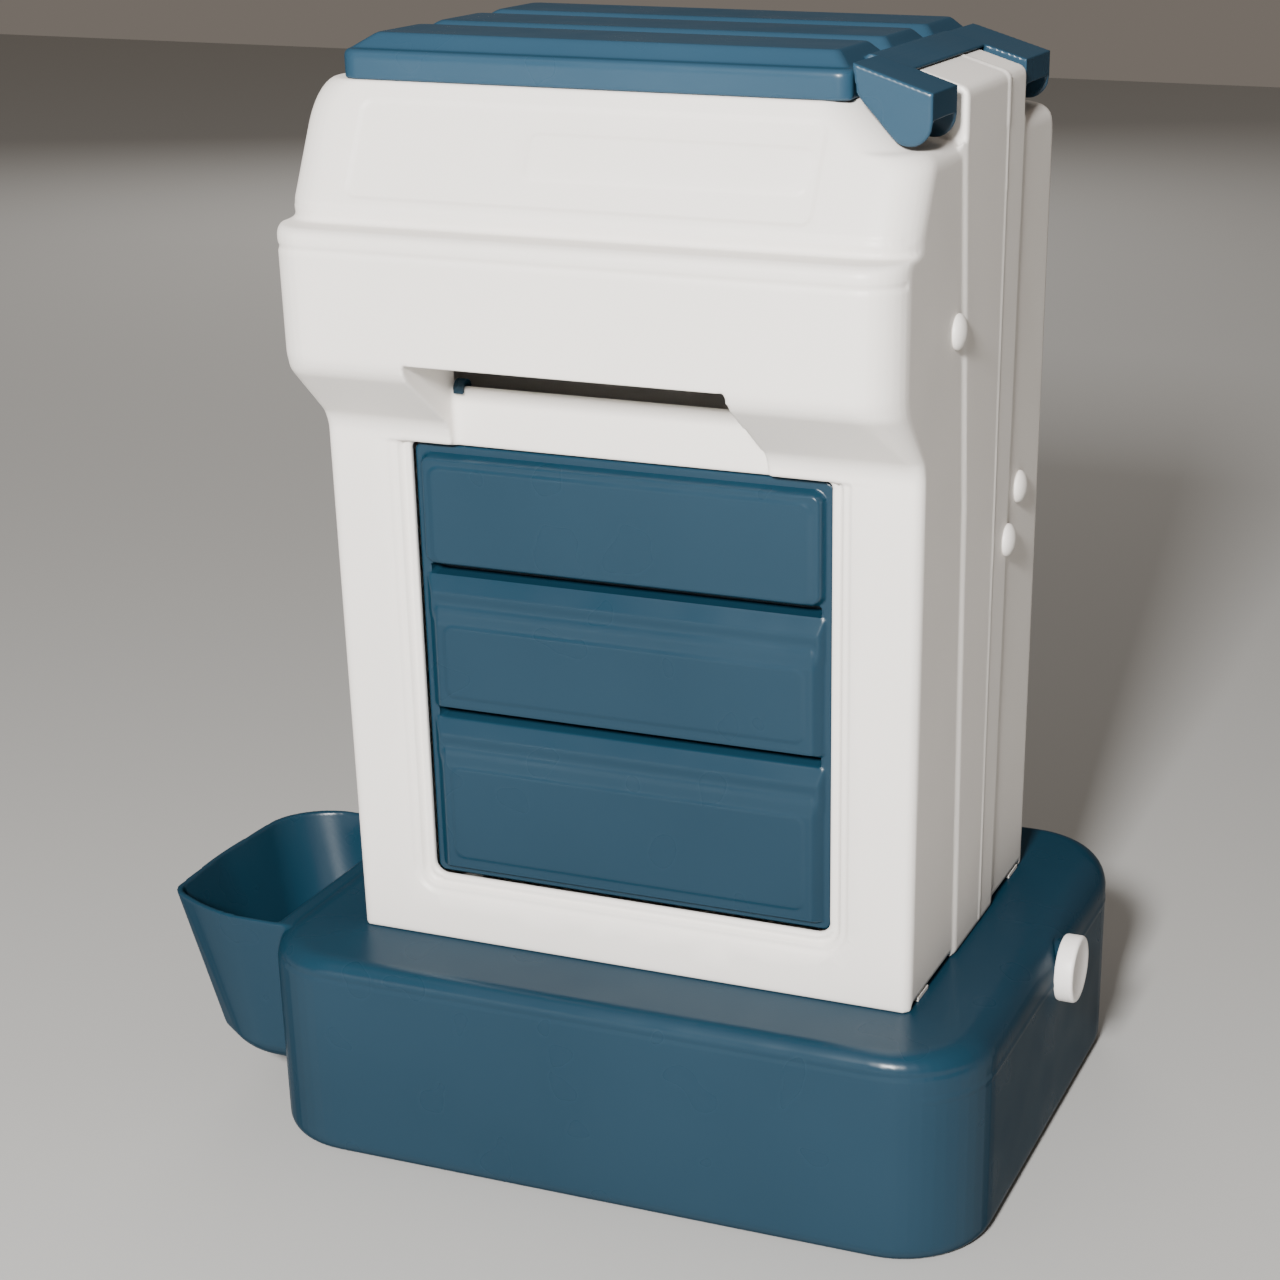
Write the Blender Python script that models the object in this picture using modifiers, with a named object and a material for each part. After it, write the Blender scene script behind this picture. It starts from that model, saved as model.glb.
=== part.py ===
"""Gravity hopper feeder on a water base.

A hollow water tank with a side trough carries a feed hopper. The hopper has a flap
door that hangs on hooks, a sloped baffle inside, a feed tray and a lid hinged at its
right-hand end. Metres, +Z up, +X to the right, the front faces -Y. The origin is the
centre of the tank's underside.
"""
import bpy
import bmesh
from math import cos, radians, sin, sqrt, tan
from mathutils import Matrix, Vector

# ---------------------------------------------------------------- driving dimensions
WALL = 0.0035
GAP = 0.0003

TANK_WIDTH = 0.494
TANK_DEPTH = 0.383
TANK_HEIGHT = 0.142
TANK_CORNER = 0.060
TANK_ROUND_SIDE = 0.020
TANK_ROUND_FRONT = 0.011
TANK_ROUND_BOTTOM = 0.010

TROUGH_RIM = 0.140
TROUGH_FLOOR = 0.030
TROUGH_WALL = 0.0030
TROUGH_TIP = -0.3475
TROUGH_FRONT = -0.1480
TROUGH_REAR = 0.0430
TROUGH_TAPER = (0.031, 0.004, 0.026)
TROUGH_BEND = 0.018
TROUGH_BOW = 0.52
TROUGH_SET_BACK = 0.0045
TROUGH_FRONT_CORNER = 0.0235
TROUGH_REAR_CORNER = 0.0220
TROUGH_REAR_TURN = 0.0340
OUTLET_RADIUS = 0.009
OUTLET_Y = -0.060
OUTLET_HEIGHT = 0.054

HOPPER_WIDTH = 0.380
HOPPER_DEPTH = 0.260
HOPPER_FRONT = -0.1315
HOPPER_DRAFT = 0.0065
BULGE_OUT = 0.055
CORNER_LOW = 0.007
CORNER_BULGE = 0.026
CORNER_REAR = 0.012
DECK_HEIGHT = 0.541
SHOULDER_HEIGHT = 0.516
SHOULDER_RIGHT = 0.1785
SHOULDER_ROUND = 0.010
DECK_LEFT = -0.180
DECK_RIGHT = 0.147
COLLAR_HEIGHT = 0.008
COLLAR_INSET = 0.008
COLLAR_LEFT = -0.1640
TOP_FRONT_IN = 0.004
TOP_REAR_IN = 0.009

OPENING_HALF = 0.1365
OPENING_LOW = 0.0435
OPENING_HIGH = 0.3295
FRAME_WIDTH = 0.011
FRAME_DEPTH = 0.006
RECESS_LEFT = -0.1060
RECESS_RIGHT_TOP = 0.0945
RECESS_RIGHT_LOW = 0.0995
RECESS_TOP = 0.390
PANEL_BACK = 0.006
PANEL_TOP = 0.366
SLOT_LEFT = -0.1052
SLOT_RIGHT = 0.0938

RIB_FRONT = -0.0690
RIB_REAR = 0.0490
RIB_OUT = 0.0014
RIB_FLANK = 0.0055
RIB_LEVELS = ((0.0006, -0.0380, 0.0410), (0.30, -0.0480, 0.0450), (SHOULDER_HEIGHT, RIB_FRONT, RIB_REAR))
BLOCK_LEFT = 0.1600
RIB_TOP = 0.548

HINGE_X = 0.1795
HINGE_Z = 0.532
EAR_RADIUS = 0.013
EAR_RIGHT = 0.1925
EAR_WALL = 0.0030
FRONT_EAR = (-0.1285, -0.0830)
REAR_EAR = (0.0550, 0.1080)
PIN_RADIUS = 0.0025

LID_SKIRT = 0.0165
LID_RISE = 0.0085
LID_LEFT = -0.1690
LID_FRONT = -0.1270
LID_REAR = 0.1160
LID_WALL = 0.0030

DOOR_HALF = 0.1356
DOOR_LOW = 0.0444
DOOR_HIGH = 0.3280
DOOR_THICK = 0.0060
DOOR_FACE = 0.0035
STEP_HEIGHTS = (0.2505, 0.1560)
STEP_DEPTH = 0.0075
STEP_SLOPE = 0.0230
HOOK_PLACES = (-0.1014, 0.0900)
HOOK_WIDTH = 0.0065
HOOK_RADIUS = 0.0035
HOOK_WALL = 0.0028
HOOK_PIVOT_Y = HOPPER_FRONT + PANEL_BACK + WALL / 2
HOOK_PIVOT_Z = PANEL_TOP - 0.0020

BAFFLE_TOP = (-0.1465, 0.4900)
BAFFLE_LOW = (0.0560, 0.2210)
BAFFLE_WALL = 0.0030
BAFFLE_STRETCH = 0.004
FLANGE_LOW = 0.0480
FLANGE_TOP = 0.0180
SIDE_CLEARANCE = 0.0010

TRAY_WALL = 0.0030
TRAY_CLEARANCE = 0.0012
TRAY_CURB = 0.026
RAMP_HEIGHT = 0.110
RAMP_LENGTH = 0.085
TAB_REACH = 0.1899
TAB_THICK = 0.0024
TAB_PLACES = ((-0.112, -0.092), (0.090, 0.110))
NOTCH_HEIGHT = 0.0033
NOTCH_PLACES = ((-0.1240, -0.0440, "front"), (0.0470, 0.1150, "rear"))

HOLE_REACH = 0.250
PLUG_RADIUS = 0.0030
PLUG_HEAD = 0.0105
PLUG_CROWN = ((0.0, 0.0056), (0.40, 0.0051), (0.70, 0.0038), (0.92, 0.0018), (1.0, 0.0))
PLUG_PLACES = ((-0.0740, 0.4100), (0.0700, 0.2830), (0.0430, 0.2550))

CAP_Y = 0.0185
CAP_Z = 0.1170
CAP_RADIUS = 0.0225
CAP_LENGTH = 0.0125
NECK_RADIUS = 0.0185
NECK_BORE = 0.0155
NECK_LENGTH = 0.0085

SCREW_RADIUS = 0.0030
SCREW_PLACES = ((-0.150, -0.095), (0.150, -0.095), (-0.150, 0.020), (0.150, 0.020))

# ---------------------------------------------------------------- scene and materials
for item in list(bpy.data.objects):
    bpy.data.objects.remove(item, do_unlink=True)


def new_collection(name):
    collection = bpy.data.collections.new(name)
    bpy.context.scene.collection.children.link(collection)
    return collection


PARTS = new_collection("hopper_feeder")
CUTTERS = new_collection("cutters")


def plastic(name, colour, roughness, metallic=0.0):
    material = bpy.data.materials.new(name)
    material.use_nodes = True
    shader = material.node_tree.nodes["Principled BSDF"]
    shader.inputs["Base Color"].default_value = (*colour, 1.0)
    shader.inputs["Roughness"].default_value = roughness
    shader.inputs["Metallic"].default_value = metallic
    return material


BLUE = plastic("blue_plastic", (0.045, 0.115, 0.180), 0.40)
ALMOND = plastic("almond_plastic", (0.740, 0.710, 0.665), 0.45)
WHITE = plastic("white_plastic", (0.850, 0.830, 0.800), 0.40)
RUBBER = plastic("black_rubber", (0.020, 0.020, 0.020), 0.80)
STEEL = plastic("zinc_steel", (0.560, 0.560, 0.580), 0.35, 1.0)


def add_object(name, mesh_data, material, collection=PARTS, smooth_angle=35.0):
    mesh = bpy.data.meshes.new(name)
    mesh_data.to_mesh(mesh)
    mesh_data.free()
    mesh.shade_smooth()
    mesh.set_sharp_from_angle(angle=radians(smooth_angle))
    item = bpy.data.objects.new(name, mesh)
    collection.objects.link(item)
    if material:
        mesh.materials.append(material)
    if collection is CUTTERS:
        item.hide_render = True
        item.display_type = "WIRE"
    return item


def set_origin(item, point):
    """Move a piece's own origin to a point, such as one on its hinge axis."""
    item.data.transform(Matrix.Translation(-Vector(point)))
    item.location = point


def boolean(target, other, operation):
    modifier = target.modifiers.new(f"{operation.lower()}_{other.name}", "BOOLEAN")
    modifier.operation = operation
    modifier.solver = "EXACT"
    modifier.object = other


def cut(target, *cutters):
    for cutter in cutters:
        boolean(target, cutter, "DIFFERENCE")


def join(target, *others):
    for other in others:
        boolean(target, other, "UNION")


# ---------------------------------------------------------------- outlines and lofts
def arc(centre, radius, start, end, steps):
    """Points on an arc in a plane, from one angle to another, in degrees."""
    angles = [radians(start + (end - start) * i / steps) for i in range(steps + 1)]
    return [(centre[0] + radius * cos(a), centre[1] + radius * sin(a)) for a in angles]


def rounded(points, steps=4, closed=True):
    """Round the corners of an outline of (x, y, radius) points."""
    outline = []
    count = len(points)
    for i, (x, y, radius) in enumerate(points):
        if radius <= 0 or (not closed and i in (0, count - 1)):
            outline.append((x, y))
            continue
        here = Vector((x, y))
        before = Vector(points[i - 1][:2]) - here
        after = Vector(points[(i + 1) % count][:2]) - here
        angle = before.angle(after)
        reach = radius / tan(angle / 2)
        middle = (before.normalized() + after.normalized()).normalized()
        centre = here + middle * radius / sin(angle / 2)
        first = here + before.normalized() * reach - centre
        turn = first.angle_signed(here + after.normalized() * reach - centre)
        for k in range(steps + 1):
            spoke = first.copy()
            spoke.rotate(Matrix.Rotation(-turn * k / steps, 2))
            outline.append(tuple(centre + spoke))
    return outline


def box_outline(left, right, front, rear, front_radius, rear_radius, steps=4):
    """A rounded rectangle, counter-clockwise from the front left corner."""
    corners = [(left, front, front_radius), (right, front, front_radius),
               (right, rear, rear_radius), (left, rear, rear_radius)]
    return rounded(corners, steps)


def loft(sections):
    """A closed solid through (height, outline) sections with equal point counts."""
    solid = bmesh.new()
    rings = [[solid.verts.new((x, y, height)) for x, y in outline] for height, outline in sections]
    count = len(rings[0])
    for low, high in zip(rings, rings[1:]):
        for i in range(count):
            j = (i + 1) % count
            solid.faces.new((low[i], low[j], high[j], high[i]))
    solid.faces.new(list(reversed(rings[0])))
    solid.faces.new(rings[-1])
    bmesh.ops.recalc_face_normals(solid, faces=solid.faces)
    return solid


def prism_x(outline, left, right):
    """An outline of (y, z) points, drawn out along X."""
    return prism(outline, left, right, lambda a, b, depth: (depth, a, b))


def prism_y(outline, front, rear):
    """An outline of (x, z) points, drawn out along Y."""
    return prism(outline, front, rear, lambda a, b, depth: (a, depth, b))


def prism(outline, start, end, place):
    solid = bmesh.new()
    near = [solid.verts.new(place(a, b, start)) for a, b in outline]
    far = [solid.verts.new(place(a, b, end)) for a, b in outline]
    count = len(outline)
    for i in range(count):
        j = (i + 1) % count
        solid.faces.new((near[i], near[j], far[j], far[i]))
    solid.faces.new(list(reversed(near)))
    solid.faces.new(far)
    bmesh.ops.recalc_face_normals(solid, faces=solid.faces)
    return solid


def block(low, high):
    """An upright box between two corners."""
    solid = bmesh.new()
    size = [b - a for a, b in zip(low, high)]
    middle = [(a + b) / 2 for a, b in zip(low, high)]
    matrix = Matrix.Translation(middle) @ Matrix.Diagonal((*size, 1.0))
    bmesh.ops.create_cube(solid, size=1.0, matrix=matrix)
    return solid


def rod(start, end, radius, segments=24):
    """A cylinder between two points."""
    start, end = Vector(start), Vector(end)
    length = (end - start).length
    turn = Vector((0, 0, 1)).rotation_difference(end - start).to_matrix().to_4x4()
    matrix = Matrix.Translation((start + end) / 2) @ turn
    solid = bmesh.new()
    bmesh.ops.create_cone(solid, cap_ends=True, segments=segments, radius1=radius,
                          radius2=radius, depth=length, matrix=matrix)
    return solid


def turned(name, profile, place, axis, material, segments=32):
    """A turned piece: (radius, height) profile from the top down, along an axis."""
    mesh = bpy.data.meshes.new(name)
    points = [(radius, 0, height) for radius, height in profile]
    mesh.from_pydata(points, [(i, i + 1) for i in range(len(points) - 1)], [])
    item = bpy.data.objects.new(name, mesh)
    PARTS.objects.link(item)
    mesh.materials.append(material)
    item.location = place
    item.rotation_mode = "QUATERNION"
    item.rotation_quaternion = Vector((0, 0, 1)).rotation_difference(Vector(axis))
    screw = item.modifiers.new("turn", "SCREW")
    screw.steps = screw.render_steps = segments
    screw.use_merge_vertices = True
    screw.merge_threshold = 0.00001
    screw.use_smooth_shade = True
    return item


# ---------------------------------------------------------------- water tank
def edge_inset(below_edge, radius):
    """How far a rounded edge draws in, at a depth below the edge."""
    if below_edge >= radius:
        return 0.0
    return radius - sqrt(radius ** 2 - (radius - below_edge) ** 2)


def tank_section(height, inset):
    """The tank's outline at a height, inset all round by a wall thickness."""
    below_top = TANK_HEIGHT - inset - height
    side = inset + edge_inset(below_top, TANK_ROUND_SIDE - inset)
    ends = inset + edge_inset(below_top, TANK_ROUND_FRONT - inset)
    bottom = edge_inset(height - inset, TANK_ROUND_BOTTOM - inset)
    half_x = TANK_WIDTH / 2 - side - bottom
    half_y = TANK_DEPTH / 2 - ends - bottom
    radius = TANK_CORNER - (side + ends) / 2 - bottom
    return height, box_outline(-half_x, half_x, -half_y, half_y, radius, radius, steps=7)


def tank_solid(inset):
    bottom = TANK_ROUND_BOTTOM - inset
    top = TANK_ROUND_SIDE - inset
    low = [inset + bottom * (1 - cos(radians(a))) for a in (0, 30, 60, 90)]
    high = [TANK_HEIGHT - inset - top * (1 - sin(radians(a))) for a in (0, 25, 45, 60, 75, 90)]
    return loft([tank_section(z, inset) for z in low + high])


def trough_outline(drop, inset):
    """The trough's plan, drawing in as it goes down; drop runs from 0 at the rim to 1."""
    tip_in, front_in, rear_in = TROUGH_TAPER
    front = TROUGH_FRONT + front_in * drop + inset
    tip = TROUGH_TIP + tip_in * drop + inset
    rear = TROUGH_REAR - rear_in * drop - inset
    joint = -TANK_WIDTH / 2 + (0.012 if inset == 0 else -GAP)
    bow = tip + TROUGH_BOW * (-TANK_WIDTH / 2 - tip)
    points = [(joint, front, 0.0), (bow, front, 0.120 - 0.080 * drop),
              (tip + TROUGH_SET_BACK, front + TROUGH_FRONT_CORNER, 0.019),
              (tip, OUTLET_Y, 0.150 - 0.050 * drop),
              (tip + TROUGH_SET_BACK, rear - TROUGH_REAR_CORNER, 0.042),
              (tip + TROUGH_REAR_TURN, rear, 0.050 - 0.025 * drop), (joint, rear, 0.0)]
    return rounded(points, steps=5)


def trough_solid(inset, top):
    floor = TROUGH_FLOOR + inset
    bend = TROUGH_BEND - inset / 2
    sections = []
    for angle in (0, 25, 50, 70):
        draw = bend * (1 - sin(radians(angle)))
        height = floor + bend * (1 - cos(radians(angle)))
        drop = (TROUGH_RIM - height) / (TROUGH_RIM - TROUGH_FLOOR)
        sections.append((height, trough_outline(drop, inset + draw)))
    sections.append((TROUGH_RIM, trough_outline(0.0, inset)))
    if top > TROUGH_RIM:
        sections.append((top, trough_outline(0.0, inset)))
    return loft(sections)


def build_tank():
    """The tank and its trough, moulded in one, with filler neck and screw bosses."""
    tank = add_object("water_base", tank_solid(0.0), BLUE)
    right = TANK_WIDTH / 2
    trough = add_object("trough_shape", trough_solid(0.0, TROUGH_RIM), None, CUTTERS)
    boss = add_object("neck_boss", rod((right - 0.030, CAP_Y, CAP_Z), (right + 0.0005, CAP_Y, CAP_Z),
                                       NECK_RADIUS + 0.0055, 32), None, CUTTERS)
    neck = add_object("neck_shape", rod((right - 0.010, CAP_Y, CAP_Z), (right + NECK_LENGTH, CAP_Y, CAP_Z),
                                        NECK_RADIUS, 32), None, CUTTERS)
    join(tank, trough, boss, neck)
    hollow = add_object("tank_hollow", tank_solid(WALL), None, CUTTERS)
    trough_hollow = add_object("trough_hollow", trough_solid(TROUGH_WALL, TANK_HEIGHT + 0.01), None, CUTTERS)
    bore = add_object("neck_bore", rod((right - 0.040, CAP_Y, CAP_Z), (right + 0.050, CAP_Y, CAP_Z),
                                       NECK_BORE, 32), None, CUTTERS)
    outlet = add_object("trough_outlet", rod((-right - 0.010, OUTLET_Y, OUTLET_HEIGHT),
                                             (-right + 0.020, OUTLET_Y, OUTLET_HEIGHT), OUTLET_RADIUS, 16),
                        None, CUTTERS)
    for index, (x, y) in enumerate(SCREW_PLACES):
        post = add_object(f"screw_post_{index}", rod((x, y, TANK_HEIGHT - 0.016), (x, y, TANK_HEIGHT + 0.010),
                                                     0.008, 16), None, CUTTERS)
        cut(hollow, post)
    cut(tank, hollow, trough_hollow, bore, outlet)
    for index, (x, y) in enumerate(SCREW_PLACES):
        socket = add_object(f"screw_socket_{index}", rod((x, y, TANK_HEIGHT - 0.0125),
                                                         (x, y, TANK_HEIGHT + 0.010), SCREW_RADIUS + GAP, 12),
                            None, CUTTERS)
        cut(tank, socket)
    return tank


def build_filler_cap():
    """The screw cap over the neck, and the washer inside it."""
    right = TANK_WIDTH / 2
    start = right + 0.0010
    inside = NECK_RADIUS + 0.0006
    depth = CAP_LENGTH - 0.0030
    outer = CAP_RADIUS
    profile = [(0.0, CAP_LENGTH), (outer - 0.0035, CAP_LENGTH), (outer - 0.0015, CAP_LENGTH - 0.0005),
               (outer, CAP_LENGTH - 0.0020), (outer, 0.0), (inside, 0.0), (inside, depth), (0.0, depth)]
    turned("filler_cap", profile, (start, CAP_Y, CAP_Z), (1, 0, 0), WHITE)
    face = right + NECK_LENGTH + GAP
    thick = start + depth - GAP - face
    washer = [(NECK_BORE + 0.0004, thick), (NECK_RADIUS, thick), (NECK_RADIUS, 0.0),
              (NECK_BORE + 0.0004, 0.0), (NECK_BORE + 0.0004, thick)]
    turned("cap_gasket", washer, (face, CAP_Y, CAP_Z), (1, 0, 0), RUBBER)


# ---------------------------------------------------------------- hopper
def hopper_z(height):
    return TANK_HEIGHT + GAP + height


def front_profile():
    """The hopper's front from bottom to top, as (setback, height) pairs."""
    points = [(0.0, 0.0, 0), (0.0, 0.342, 0.030), (-BULGE_OUT, 0.383, 0.018), (-BULGE_OUT, 0.458, 0.007),
              (-0.032, 0.4635, 0), (-0.032, 0.473, 0.012), (TOP_FRONT_IN, DECK_HEIGHT, 0)]
    return rounded(points, steps=4, closed=False)


def between(value, low, high):
    return min(max((value - low) / (high - low), 0.0), 1.0)


def hopper_section(setback, height, inset):
    """The hopper's outline at a height; the upper right end falls to a shoulder."""
    half = HOPPER_WIDTH / 2 + HOPPER_DRAFT * height - inset
    left, right = -half, half
    if height > SHOULDER_HEIGHT:
        rise = between(height, SHOULDER_HEIGHT, DECK_HEIGHT)
        left += (DECK_LEFT + inset - left) * (1 - sqrt(1 - rise ** 2))
        right = SHOULDER_RIGHT + (DECK_RIGHT - SHOULDER_RIGHT) * rise - inset
    else:
        right -= edge_inset(SHOULDER_HEIGHT - height, SHOULDER_ROUND)
    draw = between(height, SHOULDER_HEIGHT - 2 * SHOULDER_ROUND, SHOULDER_HEIGHT)
    rear = HOPPER_FRONT + HOPPER_DEPTH - inset - TOP_REAR_IN * draw ** 2
    radius = CORNER_LOW + (CORNER_BULGE - CORNER_LOW) * between(height, 0.342, 0.385)
    front = HOPPER_FRONT + setback + inset
    outline = box_outline(left, right, front, rear, max(radius - inset, 0.002), CORNER_REAR - inset, steps=4)
    return hopper_z(height), outline


def hopper_stations():
    """(setback, height) stations: the front profile, with the shoulder's two levels added."""
    lower = [point for point in front_profile() if point[1] < DECK_HEIGHT]
    last = lower[-1]
    slope = (TOP_FRONT_IN - last[0]) / (DECK_HEIGHT - last[1])
    rise = DECK_HEIGHT - SHOULDER_HEIGHT
    levels = [SHOULDER_HEIGHT - SHOULDER_ROUND * share for share in (1.5, 1.0, 0.5, 0.15, 0.0)]
    levels += [SHOULDER_HEIGHT + rise * share for share in (0.05, 0.40, 0.72, 0.92, 1.0)]
    upper = [(last[0] + slope * (height - last[1]), height) for height in levels]
    return lower + upper


def collar_outline(inset):
    """The upstand round the filling mouth."""
    grow = COLLAR_INSET + inset
    front = HOPPER_FRONT + TOP_FRONT_IN + grow
    rear = HOPPER_FRONT + HOPPER_DEPTH - TOP_REAR_IN - grow
    return box_outline(COLLAR_LEFT + inset, DECK_RIGHT - grow, front, rear, 0.018 - inset, 0.012 - inset)


def hopper_outer():
    sections = [hopper_section(setback, height, 0.0) for setback, height in hopper_stations()]
    collar = collar_outline(0.0)
    top = hopper_z(DECK_HEIGHT)
    sections += [(top, collar), (top + COLLAR_HEIGHT, collar)]
    return loft(sections)


def hopper_inner():
    """The hollow: the outer shape less the wall, open at the bottom and through the collar."""
    stations = [station for station in hopper_stations() if station[1] < DECK_HEIGHT - WALL]
    sections = []
    for setback, height in stations:
        below = height - WALL if height > SHOULDER_HEIGHT - 0.001 else height
        level, outline = hopper_section(setback, height, WALL)
        sections.append((hopper_z(below), outline))
    sections[0] = (hopper_z(-0.010), sections[0][1])
    mouth = collar_outline(WALL)
    top = hopper_z(DECK_HEIGHT)
    sections += [(top - WALL, mouth), (top + COLLAR_HEIGHT + 0.010, mouth)]
    return loft(sections)


def hopper_room():
    """The space inside the walls, which trims what sits in it."""
    clear = WALL + 0.0010
    sections = [hopper_section(setback, height, clear) for setback, height in hopper_stations()
                if height < SHOULDER_HEIGHT]
    sections[0] = (hopper_z(-0.010), sections[0][1])
    return loft(sections)


def recess_shape(grow):
    """The wedge in front of the back panel, as a solid through the overhang."""
    back = HOPPER_FRONT + PANEL_BACK + grow
    low = OPENING_HIGH - 0.012
    top = RECESS_TOP + grow
    solid = bmesh.new()
    rows = []
    for y in (HOPPER_FRONT - 0.090, back):
        corners = ((RECESS_LEFT - grow, low), (RECESS_RIGHT_LOW + grow, low),
                   (RECESS_RIGHT_TOP + grow, top), (RECESS_LEFT - grow, top))
        rows.append([solid.verts.new((x, y, hopper_z(z))) for x, z in corners])
    near, far = rows
    for i in range(4):
        j = (i + 1) % 4
        solid.faces.new((near[i], near[j], far[j], far[i]))
    solid.faces.new(list(reversed(near)))
    solid.faces.new(far)
    bmesh.ops.recalc_face_normals(solid, faces=solid.faces)
    return solid


def side_rib(side):
    """The tapered band up the middle of a side wall."""
    solid = bmesh.new()
    rings = []
    for height, front, rear in RIB_LEVELS:
        wall = HOPPER_WIDTH / 2 + HOPPER_DRAFT * height
        outline = [(wall - GAP, front - RIB_FLANK), (wall + RIB_OUT, front), (wall + RIB_OUT, rear),
                   (wall - GAP, rear + RIB_FLANK)]
        rings.append([solid.verts.new((side * x, y, hopper_z(height))) for x, y in outline])
    for low, high in zip(rings, rings[1:]):
        for i in range(4):
            j = (i + 1) % 4
            solid.faces.new((low[i], low[j], high[j], high[i]))
    solid.faces.new(list(reversed(rings[0])))
    solid.faces.new(rings[-1])
    bmesh.ops.recalc_face_normals(solid, faces=solid.faces)
    return solid


def hinge_block(shrink):
    """The rib's head between the lid's ears, which carries the hinge pins."""
    wall = HOPPER_WIDTH / 2 + HOPPER_DRAFT * SHOULDER_HEIGHT
    right = wall + RIB_OUT + 0.0002 - shrink
    left = BLOCK_LEFT + shrink
    base = SHOULDER_HEIGHT - 0.004 - 4 * shrink
    outline = [(left, base, 0), (right, base, 0), (right, RIB_TOP - 0.0040 - shrink, 0.004),
               (left, RIB_TOP + 0.0065 - shrink, 0.002)]
    points = [(x, hopper_z(z)) for x, z in rounded(outline, steps=3)]
    return prism_y(points, RIB_FRONT + shrink, RIB_REAR - shrink)


def opening_outline(grow, radius, rise=0.0):
    """The door opening's outline, grown at the sides and bottom, and raised at the top."""
    half = OPENING_HALF + grow
    low = hopper_z(OPENING_LOW - grow)
    high = hopper_z(OPENING_HIGH + rise)
    return rounded([(-half, low, radius), (half, low, radius), (half, high, 0.003), (-half, high, 0.003)])


def build_hopper():
    """The hopper's shell, with its door opening, recess, slot, ribs and plug holes."""
    hopper = add_object("hopper_body", hopper_outer(), ALMOND)
    recess = add_object("recess_cut", recess_shape(0.0), None, CUTTERS)
    cut(hopper, recess)
    for side in (-1, 1):
        join(hopper, add_object(f"rib_{side + 1}", side_rib(side), None, CUTTERS))
    join(hopper, add_object("hinge_block", hinge_block(0.0), None, CUTTERS))
    inner = add_object("hopper_hollow", hopper_inner(), None, CUTTERS)
    cut(inner, add_object("recess_wall", recess_shape(WALL), None, CUTTERS))
    thicker = add_object("frame_wall", prism_y(opening_outline(FRAME_WIDTH + WALL, 0.016, WALL),
                                               HOPPER_FRONT - 0.01, HOPPER_FRONT + FRAME_DEPTH + WALL),
                         None, CUTTERS)
    cut(inner, thicker)
    cut(hopper, inner)
    cut(hopper, add_object("frame_cut", prism_y(opening_outline(FRAME_WIDTH, 0.014), HOPPER_FRONT - 0.02,
                                                HOPPER_FRONT + FRAME_DEPTH), None, CUTTERS))
    cut(hopper, add_object("door_cut", prism_y(opening_outline(0.0, 0.008), HOPPER_FRONT - 0.02,
                                               HOPPER_FRONT + 0.020), None, CUTTERS))
    cut(hopper, add_object("slot_cut", block((SLOT_LEFT, HOPPER_FRONT + PANEL_BACK - 0.001,
                                              hopper_z(PANEL_TOP)),
                                             (SLOT_RIGHT, HOPPER_FRONT + 0.030,
                                              hopper_z(RECESS_TOP - 0.0012))), None, CUTTERS))
    cut(hopper, add_object("block_hollow", hinge_block(WALL), None, CUTTERS))
    cut(hopper, add_object("hinge_hole", rod((HINGE_X, RIB_FRONT - 0.004, hopper_z(HINGE_Z)),
                                             (HINGE_X, RIB_REAR + 0.004, hopper_z(HINGE_Z)),
                                             PIN_RADIUS + 0.00005, 16), None, CUTTERS))
    for index, (y, z) in enumerate(PLUG_PLACES):
        hole = rod((-HOLE_REACH, y, hopper_z(z)), (HOLE_REACH, y, hopper_z(z)), PLUG_RADIUS + GAP, 12)
        cut(hopper, add_object(f"plug_hole_{index}", hole, None, CUTTERS))
    for front, rear, name in NOTCH_PLACES:
        notch = block((-HOLE_REACH, front, hopper_z(-NOTCH_HEIGHT)),
                      (HOLE_REACH, rear, hopper_z(NOTCH_HEIGHT)))
        cut(hopper, add_object(f"notch_{name}", notch, None, CUTTERS))
    return hopper


# ---------------------------------------------------------------- inside the hopper
def baffle_outline(inset):
    """The baffle seen from the side: its sloped sheet and the flange behind it."""
    top = Vector(BAFFLE_TOP)
    low = Vector(BAFFLE_LOW)
    slope = (low - top).normalized()
    normal = Vector((-slope.y, slope.x))
    if normal.x < 0:
        normal = -normal
    top_in, low_in = top + normal * inset, low + normal * inset
    stretch = BAFFLE_STRETCH if inset else 0.0
    wide = FLANGE_LOW + stretch
    narrow = FLANGE_TOP + stretch
    points = [top_in - slope * stretch, low_in + slope * stretch, low + slope * stretch + normal * wide,
              top - slope * stretch + normal * narrow]
    return [(p.x, hopper_z(p.y)) for p in points]


def build_baffle(room):
    """The sloped baffle between the side walls, a channel with two side flanges."""
    half = HOPPER_WIDTH / 2 - WALL - SIDE_CLEARANCE
    baffle = add_object("feed_baffle", prism_x(baffle_outline(0.0), -half, half), ALMOND)
    boolean(baffle, room, "INTERSECT")
    hollow = prism_x(baffle_outline(BAFFLE_WALL), -half + BAFFLE_WALL, half - BAFFLE_WALL)
    cut(baffle, add_object("baffle_hollow", hollow, None, CUTTERS))
    for index, (y, z) in enumerate(PLUG_PLACES):
        hole = rod((-HOLE_REACH, y, hopper_z(z)), (HOLE_REACH, y, hopper_z(z)), PLUG_RADIUS + GAP, 12)
        cut(baffle, add_object(f"baffle_hole_{index}", hole, None, CUTTERS))
    return baffle


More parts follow.
